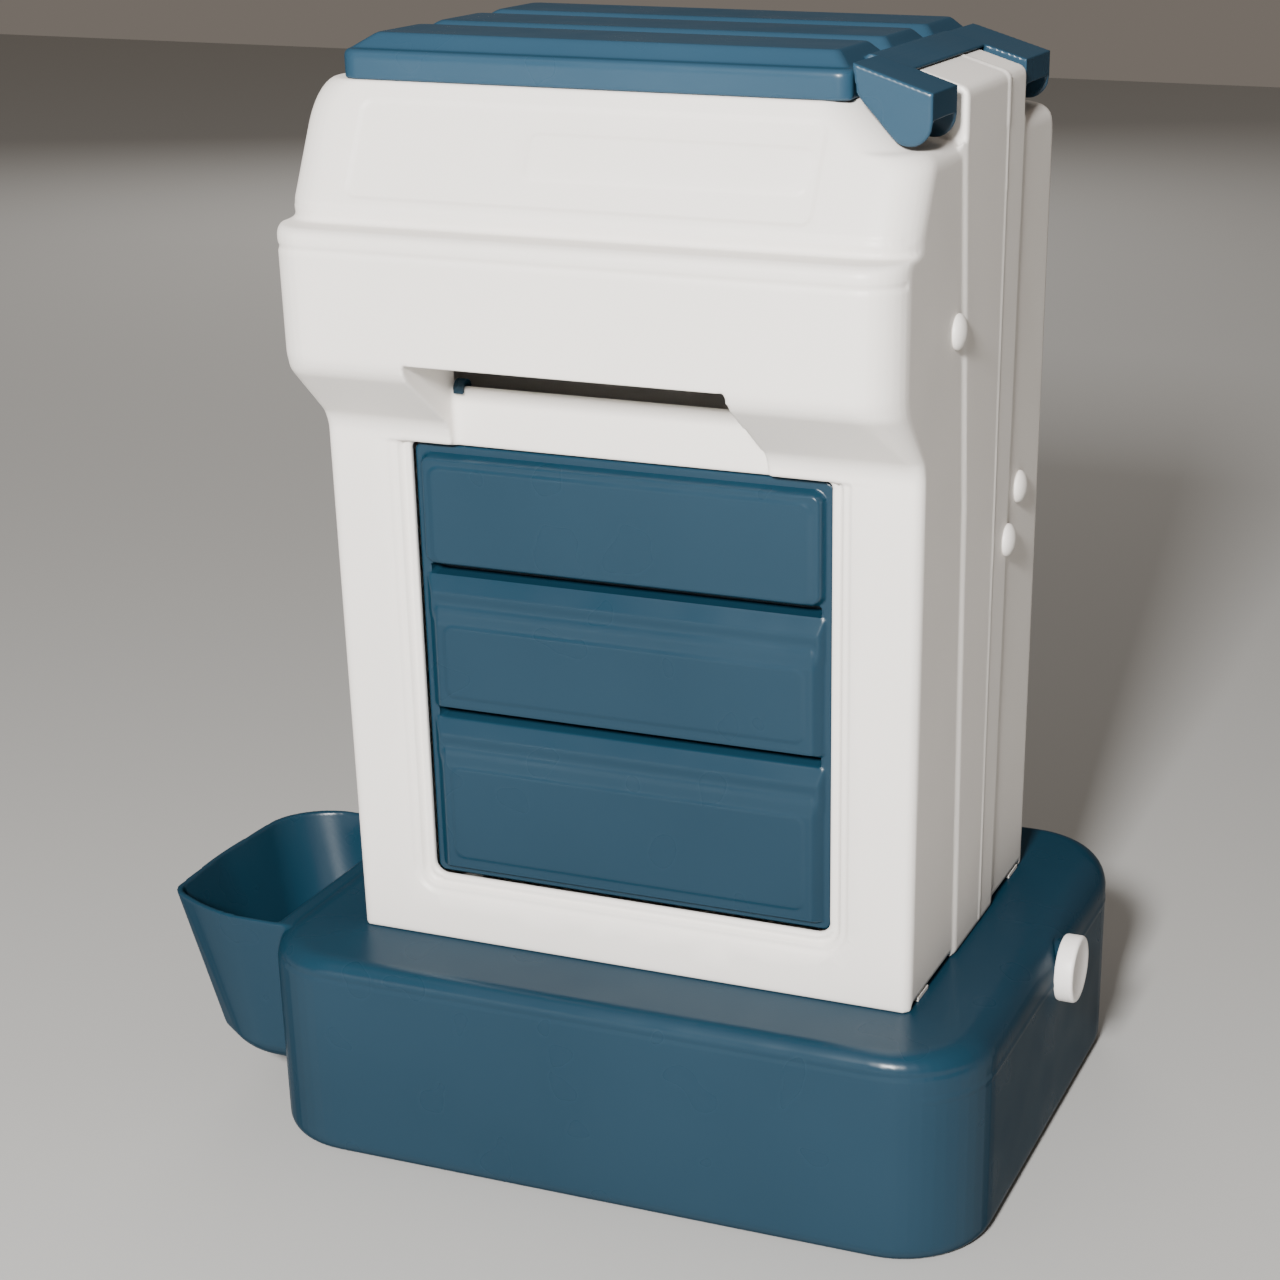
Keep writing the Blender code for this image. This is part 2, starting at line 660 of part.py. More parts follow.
def build_plugs():
    """Six headed plugs that hold the baffle's flanges to the side walls."""
    for side, word in ((-1, "left"), (1, "right")):
        for (y, z), level in zip(PLUG_PLACES, ("upper", "rear", "lower")):
            on_rib = RIB_OUT if -0.050 < y < 0.045 else 0.0
            wall = HOPPER_WIDTH / 2 + HOPPER_DRAFT * z + on_rib + GAP
            inner = HOPPER_WIDTH / 2 - WALL - SIDE_CLEARANCE - BAFFLE_WALL
            shank = wall - inner + BAFFLE_WALL
            profile = [(PLUG_HEAD * share, rise) for share, rise in PLUG_CROWN]
            profile += [(PLUG_RADIUS, 0.0), (PLUG_RADIUS, -shank), (0.0, -shank)]
            turned(f"baffle_plug_{word}_{level}", profile, (side * wall, y, hopper_z(z)),
                   (side, 0, 0), ALMOND, segments=20)


def build_tray(room):
    """The feed tray: floor, front curb and rear ramp, with tabs under the side walls."""
    half = HOPPER_WIDTH / 2 - WALL - TRAY_CLEARANCE
    front = HOPPER_FRONT + WALL + TRAY_CLEARANCE
    rear = HOPPER_FRONT + HOPPER_DEPTH - WALL - TRAY_CLEARANCE
    low = TANK_HEIGHT + GAP
    thick = TRAY_WALL
    outline = [(front, low), (rear, low), (rear, low + RAMP_HEIGHT), (rear - thick, low + RAMP_HEIGHT),
               (rear - RAMP_LENGTH, low + thick), (front + thick, low + thick),
               (front + thick, low + TRAY_CURB), (front, low + TRAY_CURB)]
    tray = add_object("feed_tray", prism_x(outline, -half, half), ALMOND)
    boolean(tray, room, "INTERSECT")
    under = [(rear - RAMP_LENGTH + 0.007, low - 0.002), (rear - thick, low - 0.002),
             (rear - thick, low + RAMP_HEIGHT - 0.015)]
    cut(tray, add_object("ramp_hollow", prism_x(under, -half + thick, half - thick), None, CUTTERS))
    for index, (start, end) in enumerate(TAB_PLACES):
        tab = block((-TAB_REACH, start, low), (TAB_REACH, end, low + TAB_THICK))
        join(tray, add_object(f"tray_tab_{index}", tab, None, CUTTERS))
    for index, (x, y) in enumerate(SCREW_PLACES):
        hole = rod((x, y, low - 0.01), (x, y, low + 0.02), SCREW_RADIUS + GAP, 12)
        cut(tray, add_object(f"tray_hole_{index}", hole, None, CUTTERS))
    return tray


def build_screws():
    """Pan-head screws through the tray into the tank's sockets."""
    names = ("front_left", "front_right", "rear_left", "rear_right")
    for (x, y), name in zip(SCREW_PLACES, names):
        seat = TANK_HEIGHT + GAP + TRAY_WALL + GAP
        profile = [(0.0, 0.0030), (0.0035, 0.0028), (0.0055, 0.0012), (0.0058, 0.0), (SCREW_RADIUS, 0.0),
                   (SCREW_RADIUS, -0.0140), (0.0, -0.0150)]
        turned(f"base_screw_{name}", profile, (x, y, seat), (0, 0, 1), STEEL, segments=12)


# ---------------------------------------------------------------- lid
def lid_ear(front, rear):
    """One hinge ear: a block whose end is rounded about the hinge's axis."""
    start = DECK_RIGHT - 0.004
    outline = [(start, DECK_HEIGHT + LID_SKIRT + 0.0045), (start, DECK_HEIGHT + 0.0012),
               (DECK_RIGHT + 0.0045, DECK_HEIGHT + 0.0015)]
    outline += arc((HINGE_X, HINGE_Z), EAR_RADIUS, 222, 360, 8)
    outline.append((EAR_RIGHT, DECK_HEIGHT + 0.0065))
    return prism_y([(x, hopper_z(z)) for x, z in outline], front, rear)


def lid_shell(inset):
    """The lid's raised pan; with an inset, the hollow under it."""
    base = hopper_z(DECK_HEIGHT) + GAP
    left, right = LID_LEFT, DECK_RIGHT
    rows = ((0.0, 0.0), (LID_SKIRT - 0.003, 0.0), (LID_SKIRT - 0.0008, 0.0010), (LID_SKIRT, 0.003))
    sections = []
    for rise, draw in rows:
        level = base + rise
        if inset:
            level = base - 0.002 if rise == 0 else level - inset
        grow = draw + inset
        sections.append((level, box_outline(left + grow, right - grow, LID_FRONT + grow, LID_REAR - grow,
                                            max(0.011 - grow, 0.003), max(0.011 - grow, 0.003))))
    return loft(sections)


def lid_ridge(front, rear):
    """One raised ridge along the lid, with chamfered sides and ends."""
    low = hopper_z(DECK_HEIGHT) + GAP + LID_SKIRT - 0.001
    sections = []
    for rise, draw in ((0.0, 0.0), (0.001, 0.0), (0.001 + LID_RISE, 0.009)):
        sections.append((low + rise, box_outline(LID_LEFT + 0.003 + draw * 1.4, DECK_RIGHT - 0.006 - draw,
                                                 front + draw, rear - draw, 0.004, 0.004, steps=2)))
    return loft(sections)


def lid_web():
    """The sloped strip between the ears, over the edge of the rib's head."""
    left, right = DECK_RIGHT - 0.0070, DECK_RIGHT + 0.0195
    outline = [(left, 0.5565), (DECK_RIGHT - 0.0005, 0.5565), (DECK_RIGHT + 0.0010, 0.5589), (right, 0.5535),
               (right, 0.5551), (DECK_RIGHT - 0.0035, 0.5618), (left, 0.5618)]
    points = [(x, hopper_z(z)) for x, z in outline]
    return prism_y(points, FRONT_EAR[1] - 0.0010, REAR_EAR[0] + 0.0010)


def build_lid():
    """The lid with its ridges, its two hinge ears and the strip between them."""
    lid = add_object("lid", lid_shell(0.0), BLUE)
    set_origin(lid, (HINGE_X, 0.0, hopper_z(HINGE_Z)))
    pitch = (LID_REAR - LID_FRONT - 0.010) / 3
    for index in range(3):
        start = LID_FRONT + 0.005 + pitch * index
        join(lid, add_object(f"lid_ridge_{index}", lid_ridge(start + 0.003, start + pitch - 0.004),
                             None, CUTTERS))
    hollow = add_object("lid_hollow", lid_shell(LID_WALL), None, CUTTERS)
    ears = ((FRONT_EAR, "front"), (REAR_EAR, "rear"))
    for (front, rear), name in ears:
        join(lid, add_object(f"ear_{name}", lid_ear(front, rear), None, CUTTERS))
    cut(lid, hollow)
    join(lid, add_object("lid_web", lid_web(), None, CUTTERS))
    for (front, rear), name in ears:
        cut(lid, add_object(f"ear_hollow_{name}", lid_ear_hollow(front, rear), None, CUTTERS))
    hinge_hole = rod((HINGE_X, FRONT_EAR[1] - 0.010, hopper_z(HINGE_Z)),
                     (HINGE_X, REAR_EAR[0] + 0.010, hopper_z(HINGE_Z)), PIN_RADIUS + 0.00005, 16)
    cut(lid, add_object("ear_hole", hinge_hole, None, CUTTERS))
    return lid


def lid_ear_hollow(front, rear):
    """The hollow under an ear, open at the bottom."""
    left = DECK_RIGHT - 0.002
    right = EAR_RIGHT - EAR_WALL
    low = HINGE_Z - EAR_RADIUS - 0.010
    outline = [(left, low), (right, low), (right, DECK_HEIGHT + 0.0065 - EAR_WALL),
               (left, DECK_HEIGHT + LID_SKIRT + 0.0035 - EAR_WALL)]
    points = [(x, hopper_z(z)) for x, z in outline]
    return prism_y(points, front + EAR_WALL, rear - EAR_WALL)


def build_hinge_pins():
    """Two short pins, one from each ear into the rib's head."""
    z = hopper_z(HINGE_Z)
    ends = (("front", FRONT_EAR[1] - EAR_WALL - 0.004, RIB_FRONT + WALL + 0.003),
            ("rear", RIB_REAR - WALL - 0.003, REAR_EAR[0] + EAR_WALL + 0.004))
    for name, start, end in ends:
        pin = rod((HINGE_X, start, z), (HINGE_X, end, z), PIN_RADIUS, 16)
        add_object(f"lid_hinge_pin_{name}", pin, STEEL)


# ---------------------------------------------------------------- door
def door_face():
    """The door's front from top to bottom, as (setback, height) pairs."""
    points = [(0.0, DOOR_HIGH)]
    for level in STEP_HEIGHTS:
        points += [(0.0, level + 0.0010), (STEP_DEPTH, level - 0.0020), (0.0, level - STEP_SLOPE)]
    points.append((0.0, DOOR_LOW))
    return points


def build_door():
    """The stepped flap door with two hooks over the back panel's top edge."""
    front = HOPPER_FRONT + DOOR_FACE
    face = [(front + setback, hopper_z(height)) for setback, height in door_face()]
    back = [(y + DOOR_THICK, z) for y, z in reversed(face)]
    door = add_object("flap_door", prism_x(face + back, -DOOR_HALF, DOOR_HALF), BLUE)
    set_origin(door, (0.0, HOOK_PIVOT_Y, hopper_z(HOOK_PIVOT_Z)))
    corners = rounded([(-DOOR_HALF, hopper_z(DOOR_LOW), 0.006), (DOOR_HALF, hopper_z(DOOR_LOW), 0.006),
                       (DOOR_HALF, hopper_z(DOOR_HIGH), 0.003), (-DOOR_HALF, hopper_z(DOOR_HIGH), 0.003)])
    trim = add_object("door_outline", prism_y(corners, HOPPER_FRONT - 0.02, HOPPER_FRONT + 0.05),
                      None, CUTTERS)
    boolean(door, trim, "INTERSECT")
    for index, middle in enumerate(HOOK_PLACES):
        join(door, add_object(f"door_hook_{index}", door_hook(middle), None, CUTTERS))
    return door


def door_hook(middle):
    """A hook: a strap up behind the panel that curls forward over its top edge."""
    pivot = (HOOK_PIVOT_Y, HOOK_PIVOT_Z)
    outer = arc(pivot, HOOK_RADIUS + HOOK_WALL, 0, 185, 8)
    inner = arc(pivot, HOOK_RADIUS, 185, 0, 8)
    low = DOOR_HIGH - 0.004
    near = HOOK_PIVOT_Y + HOOK_RADIUS
    foot = near - 0.0030
    rear = [(near + HOOK_WALL, low)]
    front = [(near, DOOR_HIGH - 0.0010), (foot, DOOR_HIGH - 0.0010), (foot, low)]
    outline = [(y, hopper_z(z)) for y, z in rear + outer + inner + front]
    return prism_x(outline, middle - HOOK_WIDTH / 2, middle + HOOK_WIDTH / 2)


build_tank()
build_filler_cap()
build_hopper()
ROOM = add_object("hopper_room", hopper_room(), None, CUTTERS)
build_baffle(ROOM)
build_plugs()
build_tray(ROOM)
build_screws()
build_lid()
build_hinge_pins()
build_door()
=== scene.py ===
"""Gravity hopper feeder on a water base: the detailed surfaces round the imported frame."""
from math import cos, radians, sin, sqrt, tan

import bmesh
import bpy
import numpy as np
from mathutils import Matrix, Vector


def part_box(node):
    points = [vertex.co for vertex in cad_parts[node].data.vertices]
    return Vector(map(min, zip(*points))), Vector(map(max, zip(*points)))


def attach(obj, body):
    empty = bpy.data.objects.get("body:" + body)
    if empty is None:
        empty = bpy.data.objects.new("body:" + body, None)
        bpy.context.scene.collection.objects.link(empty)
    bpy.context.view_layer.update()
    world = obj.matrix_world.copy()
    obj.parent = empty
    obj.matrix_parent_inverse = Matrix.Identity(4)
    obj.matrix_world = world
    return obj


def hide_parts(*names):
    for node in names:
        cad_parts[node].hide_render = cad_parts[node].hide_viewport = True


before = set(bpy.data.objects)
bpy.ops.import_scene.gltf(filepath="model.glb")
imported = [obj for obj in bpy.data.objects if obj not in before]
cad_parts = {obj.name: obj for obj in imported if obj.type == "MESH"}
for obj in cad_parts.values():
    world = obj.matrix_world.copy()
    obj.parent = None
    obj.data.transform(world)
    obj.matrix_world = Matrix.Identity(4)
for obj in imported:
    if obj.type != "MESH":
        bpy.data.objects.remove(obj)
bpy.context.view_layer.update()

SCENE = bpy.context.scene

# ---------------------------------------------------------------- dimensions
TANK_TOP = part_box("water_base")[1][2]
GAP = 0.0003
BASE = TANK_TOP + GAP
WALL = 0.0035

TANK_HALF = (0.247, 0.1915)
TANK_CORNER = 0.060
TANK_ROUND_SIDE = 0.020
TANK_ROUND_FRONT = 0.011
TANK_ROUND_BOTTOM = 0.010
TROUGH_RIM = 0.140
TROUGH_FLOOR = 0.030
TROUGH_WALL = 0.0030
TROUGH_TIP = -0.3475
TROUGH_FRONT = -0.1480
TROUGH_REAR = 0.0430
TROUGH_TAPER = (0.031, 0.004, 0.026)
TROUGH_BEND = 0.018
TROUGH_BOW = 0.52
TROUGH_SET_BACK = 0.0045
TROUGH_FRONT_CORNER = 0.0235
TROUGH_REAR_CORNER = 0.0220
TROUGH_REAR_TURN = 0.0340
OUTLET_Y = -0.060
OUTLET_HEIGHT = 0.054
OUTLET_RADIUS = 0.009
CAP_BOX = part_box("filler_cap")
CAP_CENTRE = tuple((CAP_BOX[0][axis] + CAP_BOX[1][axis]) / 2 for axis in (1, 2))
CAP_RADIUS = (CAP_BOX[1][2] - CAP_BOX[0][2]) / 2
CAP_LENGTH = CAP_BOX[1][0] - CAP_BOX[0][0]
NECK_RADIUS = 0.0183
NECK_BORE = 0.0155
NECK_LENGTH = 0.0100

FRONT = -0.1315
DEPTH = 0.260
HALF_WIDTH = 0.190
DRAFT = 0.0065
DECK = 0.541
SHOULDER = 0.516
SHOULDER_RIGHT = 0.1785
SHOULDER_ROUND = 0.010
DECK_LEFT = -0.180
DECK_RIGHT = 0.147
TOP_FRONT_IN = 0.004
TOP_REAR_IN = 0.009
COLLAR_LEFT = -0.1640
COLLAR_HEIGHT = 0.008
COLLAR_INSET = 0.008
CORNER_LOW = 0.007
CORNER_BULGE = 0.026
CORNER_REAR = 0.012

OPENING_HALF = 0.1365
OPENING_LOW = 0.0435
OPENING_HIGH = 0.3295
OPENING_CORNER = 0.008
FRAME_BAND = 0.0125
RECESS_LEFT = -0.1060
RECESS_RIGHT_TOP = 0.0940
RECESS_RIGHT_LOW = 0.1000
RECESS_LOW = 0.3175
RECESS_TOP = 0.390
PANEL_BACK = 0.006
SLOT_LOW = (-0.1058, 0.366)
SLOT_HIGH = (0.0935, 0.3888)
PANEL = (-0.150, 0.135, 0.4800, 0.5310)
PLATE = (-0.040, 0.128, 0.4950, 0.5180)
NOTCHES = ((-0.1240, -0.0440), (0.0470, 0.1150))
NOTCH_HEIGHT = 0.0033

RIB_OUT = 0.0014
RIB_FRONT = -0.0690
RIB_REAR = 0.0490
RIB_FLANK = 0.0075
RIB_LEVELS = ((0.0006, -0.0380, 0.0410), (0.30, -0.0480, 0.0450), (SHOULDER, RIB_FRONT, RIB_REAR))
SEAM = (0.0122, 0.0140)
SEAM_FLANK = 0.0008
SEAM_OUT = 0.0005
BLOCK_LEFT = 0.1600
BLOCK_TOP = (0.5545, 0.5440)

HINGE = (0.1795, 0.532)
EAR_RADIUS = 0.013
EAR_RIGHT = 0.1925
EAR_WALL = 0.0030
EARS = ((-0.1285, -0.0830), (0.0550, 0.1080))
PIN_HOLE = 0.0026

LID_LEFT = -0.1690
LID_FRONT = -0.1270
LID_REAR = 0.1160
LID_WALL = 0.0030
LID_EDGE = 0.004
LID_SKIRT = 0.0165
LID_CORNER = 0.011
RIDGE_ROWS = ((0.0, 0.0), (0.001, 0.0), (0.0085, 0.0075), (0.0095, 0.009))

PLUG_HEAD = 0.0105
PLUG_SHANK = 0.0030
PLUG_CROWN = 0.0056


def level(height):
    """World height of a height above the hopper's foot."""
    return BASE + height


# ---------------------------------------------------------------- mesh tools
def arc(centre, radius, start, end, steps):
    angles = [radians(start + (end - start) * i / steps) for i in range(steps + 1)]
    return [(centre[0] + radius * cos(a), centre[1] + radius * sin(a)) for a in angles]


def rounded(points, steps=8, closed=True):
    """Round the corners of an outline of (x, y, radius) points."""
    outline = []
    count = len(points)
    for i, (x, y, radius) in enumerate(points):
        if radius <= 0 or (not closed and i in (0, count - 1)):
            outline.append((x, y))
            continue
        here = Vector((x, y))
        before = Vector(points[i - 1][:2]) - here
        after = Vector(points[(i + 1) % count][:2]) - here
        angle = before.angle(after)
        reach = radius / tan(angle / 2)
        middle = (before.normalized() + after.normalized()).normalized()
        centre = here + middle * radius / sin(angle / 2)
        first = here + before.normalized() * reach - centre
        turn = first.angle_signed(here + after.normalized() * reach - centre)
        for k in range(steps + 1):
            spoke = first.copy()
            spoke.rotate(Matrix.Rotation(-turn * k / steps, 2))
            outline.append(tuple(centre + spoke))
    return outline


def box_outline(left, right, front, rear, front_radius, rear_radius, steps=8):
    corners = [(left, front, front_radius), (right, front, front_radius),
               (right, rear, rear_radius), (left, rear, rear_radius)]
    return rounded(corners, steps)


def bridge(solid, rings):
    """Close a stack of vertex rings into a solid."""
    count = len(rings[0])
    for low, high in zip(rings, rings[1:]):
        for i in range(count):
            j = (i + 1) % count
            solid.faces.new((low[i], low[j], high[j], high[i]))
    solid.faces.new(list(reversed(rings[0])))
    solid.faces.new(rings[-1])
    bmesh.ops.recalc_face_normals(solid, faces=solid.faces)
    return solid


def loft(sections, place=lambda a, b, depth: (a, b, depth)):
    """A solid through (depth, outline) sections; place turns them to x, y, z."""
    solid = bmesh.new()
    return bridge(solid, [[solid.verts.new(place(a, b, depth)) for a, b in outline]
                          for depth, outline in sections])


def along_x(a, b, depth):
    return depth, a, b


def along_y(a, b, depth):
    return a, depth, b


def prism_x(outline, left, right):
    return loft([(left, outline), (right, outline)], along_x)


def prism_y(outline, front, rear):
    return loft([(front, outline), (rear, outline)], along_y)


def block(low, high):
    solid = bmesh.new()
    size = [b - a for a, b in zip(low, high)]
    middle = [(a + b) / 2 for a, b in zip(low, high)]
    bmesh.ops.create_cube(solid, size=1.0, matrix=Matrix.Translation(middle) @ Matrix.Diagonal((*size, 1.0)))
    return solid


def rod(start, end, radius, segments=48):
    start, end = Vector(start), Vector(end)
    turn = Vector((0, 0, 1)).rotation_difference(end - start).to_matrix().to_4x4()
    solid = bmesh.new()
    bmesh.ops.create_cone(solid, cap_ends=True, segments=segments, radius1=radius, radius2=radius,
                          depth=(end - start).length, matrix=Matrix.Translation((start + end) / 2) @ turn)
    return solid


def temporary(solid, name="shape"):
    mesh = bpy.data.meshes.new(name)
    solid.to_mesh(mesh)
    solid.free()
    item = bpy.data.objects.new(name, mesh)
    SCENE.collection.objects.link(item)
    return item


def evaluated(item):
    graph = bpy.context.evaluated_depsgraph_get()
    return bpy.data.meshes.new_from_object(item.evaluated_get(graph))


def carved(base, steps):
    """The mesh of a solid after (operation, solid) steps in turn."""
    item = temporary(base)
    others = []
    for operation, solid in steps:
        other = solid if isinstance(solid, bpy.types.Object) else temporary(solid)
        modifier = item.modifiers.new("step", "BOOLEAN")
        modifier.operation = operation
        modifier.solver = "EXACT"
        modifier.object = other
        others.append(other)
    mesh = evaluated(item)
    for gone in others + [item]:
        bpy.data.objects.remove(gone, do_unlink=True)
    return mesh


def from_mesh(mesh, name="shape"):
    item = bpy.data.objects.new(name, mesh)
    SCENE.collection.objects.link(item)
    return item


def coordinates(mesh):
    values = np.empty(len(mesh.vertices) * 3, np.float32)
    mesh.vertices.foreach_get("co", values)
    return values.reshape(-1, 3).astype(float)


def store(mesh, points):
    mesh.vertices.foreach_set("co", points.astype(np.float32).ravel())
    mesh.update()


def edge_pairs(mesh):
    pairs = np.empty(len(mesh.edges) * 2, np.int32)
    mesh.edges.foreach_get("vertices", pairs)
    return pairs.reshape(-1, 2)


def relax(mesh, rounds, push=0.5, pull=-0.52):
    """Round every edge a little, without shrinking the whole."""
    points = coordinates(mesh)
    pairs = edge_pairs(mesh)
    one, two = pairs[:, 0], pairs[:, 1]
    count = len(points)
    degree = np.bincount(one, minlength=count) + np.bincount(two, minlength=count)
    for _ in range(rounds):
        for weight in (push, pull):
            total = np.stack([np.bincount(one, points[two, axis], count)
                              + np.bincount(two, points[one, axis], count) for axis in range(3)], 1)
            points += weight * (total / degree[:, None] - points)
    store(mesh, points)


def normals(mesh):
    values = np.empty(len(mesh.vertices) * 3, np.float32)
    mesh.vertex_normals.foreach_get("vector", values)
    return values.reshape(-1, 3).astype(float)


def softened(mesh, voxel, rounds, keep, shape=None):
    """Remesh, round the edges, press in the fine detail and thin the mesh."""
    item = from_mesh(mesh)
    remesh = item.modifiers.new("even", "REMESH")
    remesh.mode = "VOXEL"
    remesh.voxel_size = voxel
    dense = evaluated(item)
    bpy.data.objects.remove(item, do_unlink=True)
    relax(dense, rounds)
    if shape:
        points = coordinates(dense)
        facing = normals(dense)
        store(dense, points + facing * shape(points, facing)[:, None])
    item = from_mesh(dense)
    thin = item.modifiers.new("thin", "DECIMATE")
    triangles = sum(len(face.vertices) - 2 for face in dense.polygons)
    thin.ratio = min(keep / triangles, 1.0)
    thinned = evaluated(item)
    bpy.data.objects.remove(item, do_unlink=True)
    return thinned


def piece(name, mesh, material, body, slot, *nodes):
    """A finished piece that rides a body and stands for CAD nodes."""
    mesh.name = name
    mesh.materials.clear()
    mesh.materials.append(material)
    mesh.shade_smooth()
    item = bpy.data.objects.new(name, mesh)
    SCENE.collection.objects.link(item)
    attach(item, body)
    if nodes:
        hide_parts(*nodes)
    return item


def smooth_step(value, low, high):
    share = np.clip((value - low) / (high - low), 0.0, 1.0)
    return share * share * (3 - 2 * share)


def box_distance(u, v, left, right, low, high, radius):
    """Signed distance to a rounded rectangle, negative inside."""
    du = np.abs(u - (left + right) / 2) - (right - left) / 2 + radius
    dv = np.abs(v - (low + high) / 2) - (high - low) / 2 + radius
    outside = np.hypot(np.maximum(du, 0), np.maximum(dv, 0))
    return outside + np.minimum(np.maximum(du, dv), 0) - radius


def ridge(distance, width):
    return np.exp(-(distance / width) ** 2)


# ---------------------------------------------------------------- materials
def plastic(name, colour, roughness, shine=0.5, grain=0.10, variation=0.05, wear=0.10):
    """Satin moulded plastic: fine grain, slow ripples, patchy gloss and pale edges."""
    material = bpy.data.materials.new(name)
    material.use_nodes = True
    tree = material.node_tree
    nodes, links = tree.nodes, tree.links
    shader = nodes["Principled BSDF"]
    where = nodes.new("ShaderNodeTexCoord").outputs["Object"]

    def noise(scale, detail=3.0):
        node = nodes.new("ShaderNodeTexNoise")
        node.inputs["Scale"].default_value = scale
        node.inputs["Detail"].default_value = detail
        links.new(where, node.inputs["Vector"])
        return node.outputs["Fac"]

    def ramp(value, low, high, new_low, new_high):
        node = nodes.new("ShaderNodeMapRange")
        keys = ("From Min", "From Max", "To Min", "To Max")
        for key, number in zip(keys, (low, high, new_low, new_high)):
            node.inputs[key].default_value = number
        links.new(value, node.inputs["Value"])
        return node.outputs["Result"]

    def mix(share, first, second):
        node = nodes.new("ShaderNodeMix")
        node.data_type = "RGBA"
        links.new(share, node.inputs[0])
        for socket, value in ((node.inputs[6], first), (node.inputs[7], second)):
            if isinstance(value, tuple):
                socket.default_value = (*value, 1.0)
            else:
                links.new(value, socket)
        return node.outputs[2]

    graze = nodes.new("ShaderNodeLayerWeight").outputs["Facing"]
    links.new(ramp(graze, 0.35, 0.62, shine, 0.04 * shine), shader.inputs["Specular IOR Level"])
    darker = tuple(c * (1 - variation) for c in colour)
    lighter = tuple(min(c * (1 + variation) + 0.002, 1.0) for c in colour)
    tint = mix(ramp(noise(7.0, 1.0), 0.25, 0.75, 0.0, 1.0), darker, lighter)
    edge = nodes.new("ShaderNodeNewGeometry").outputs["Pointiness"]
    worn = nodes.new("ShaderNodeMath")
    worn.operation = "MULTIPLY"
    links.new(ramp(edge, 0.56, 0.66, 0.0, wear), worn.inputs[0])
    links.new(ramp(noise(60.0), 0.40, 0.60, 0.2, 1.0), worn.inputs[1])
    pale = tuple(c * 0.5 + 0.42 for c in colour)
    links.new(mix(worn.outputs[0], tint, pale), shader.inputs["Base Color"])
    gloss = ramp(noise(26.0, 1.0), 0.20, 0.80, roughness - 0.045, roughness + 0.055)
    links.new(gloss, shader.inputs["Roughness"])
    fine = nodes.new("ShaderNodeBump")
    fine.inputs["Strength"].default_value = grain
    fine.inputs["Distance"].default_value = 0.0004
    links.new(noise(520.0, 2.0), fine.inputs["Height"])
    slow = nodes.new("ShaderNodeBump")
    slow.inputs["Strength"].default_value = 0.10
    slow.inputs["Distance"].default_value = 0.004
    links.new(noise(14.0, 1.0), slow.inputs["Height"])
    links.new(fine.outputs["Normal"], slow.inputs["Normal"])
    links.new(slow.outputs["Normal"], shader.inputs["Normal"])
    return material


def zinc(name):
    """Zinc-plated steel: small spangled cells that vary its tone and gloss."""
    material = bpy.data.materials.new(name)
    material.use_nodes = True
    tree = material.node_tree
    shader = tree.nodes["Principled BSDF"]
    shader.inputs["Metallic"].default_value = 1.0
    where = tree.nodes.new("ShaderNodeTexCoord").outputs["Object"]
    cells = tree.nodes.new("ShaderNodeTexVoronoi")
    cells.inputs["Scale"].default_value = 400.0
    tree.links.new(where, cells.inputs["Vector"])
    tones = tree.nodes.new("ShaderNodeMix")
    tones.data_type = "RGBA"
    tones.inputs[6].default_value = (0.50, 0.50, 0.53, 1)
    tones.inputs[7].default_value = (0.66, 0.66, 0.67, 1)
    tree.links.new(cells.outputs["Distance"], tones.inputs[0])
    tree.links.new(tones.outputs[2], shader.inputs["Base Color"])
    gloss = tree.nodes.new("ShaderNodeMapRange")
    gloss.inputs["To Min"].default_value = 0.28
    gloss.inputs["To Max"].default_value = 0.46
    tree.links.new(cells.outputs["Distance"], gloss.inputs["Value"])
    tree.links.new(gloss.outputs["Result"], shader.inputs["Roughness"])
    return material


BLUE = plastic("blue_plastic_surface", (0.0068, 0.0300, 0.0515), 0.29, shine=0.31, grain=0.04, wear=0.0)
# The lid is the same blue plastic as the tank. Its lighter colour here is painted light, a brighter tone
# standing in for the light that falls on the lid's skirt and ears.
LID_BLUE_PAINTED_LIGHT = plastic("lid_plastic_painted_light_surface", (0.0180, 0.0540, 0.0900), 0.29, shine=0.42, grain=0.04, wear=0.0)
ALMOND = plastic("almond_plastic_surface", (0.865, 0.828, 0.782), 0.42, variation=0.02, wear=0.05)
WHITE = plastic("white_plastic_surface", (0.930, 0.900, 0.870), 0.38, variation=0.02, wear=0.03)
RUBBER = plastic("black_rubber_surface", (0.022, 0.022, 0.024), 0.75, grain=0.3, wear=0.05)
STEEL = zinc("zinc_steel_surface")


# ---------------------------------------------------------------- water tank
def edge_inset(below_edge, radius):
    if below_edge >= radius:
        return 0.0
    return radius - sqrt(max(radius ** 2 - (radius - below_edge) ** 2, 0.0))


def tank_section(height):
    side = edge_inset(TANK_TOP - height, TANK_ROUND_SIDE)
    ends = edge_inset(TANK_TOP - height, TANK_ROUND_FRONT)
    bottom = edge_inset(height, TANK_ROUND_BOTTOM)
    half_x = TANK_HALF[0] - side - bottom
    half_y = TANK_HALF[1] - ends - bottom
    radius = TANK_CORNER - (side + ends) / 2 - bottom
    return height, box_outline(-half_x, half_x, -half_y, half_y, radius, radius, 12)


def tank_shape():
    low = [TANK_ROUND_BOTTOM * (1 - cos(radians(a))) for a in range(0, 91, 15)]
    high = [TANK_TOP - TANK_ROUND_SIDE * (1 - sin(radians(a))) for a in range(0, 91, 9)]
    return loft([tank_section(z) for z in low + high])


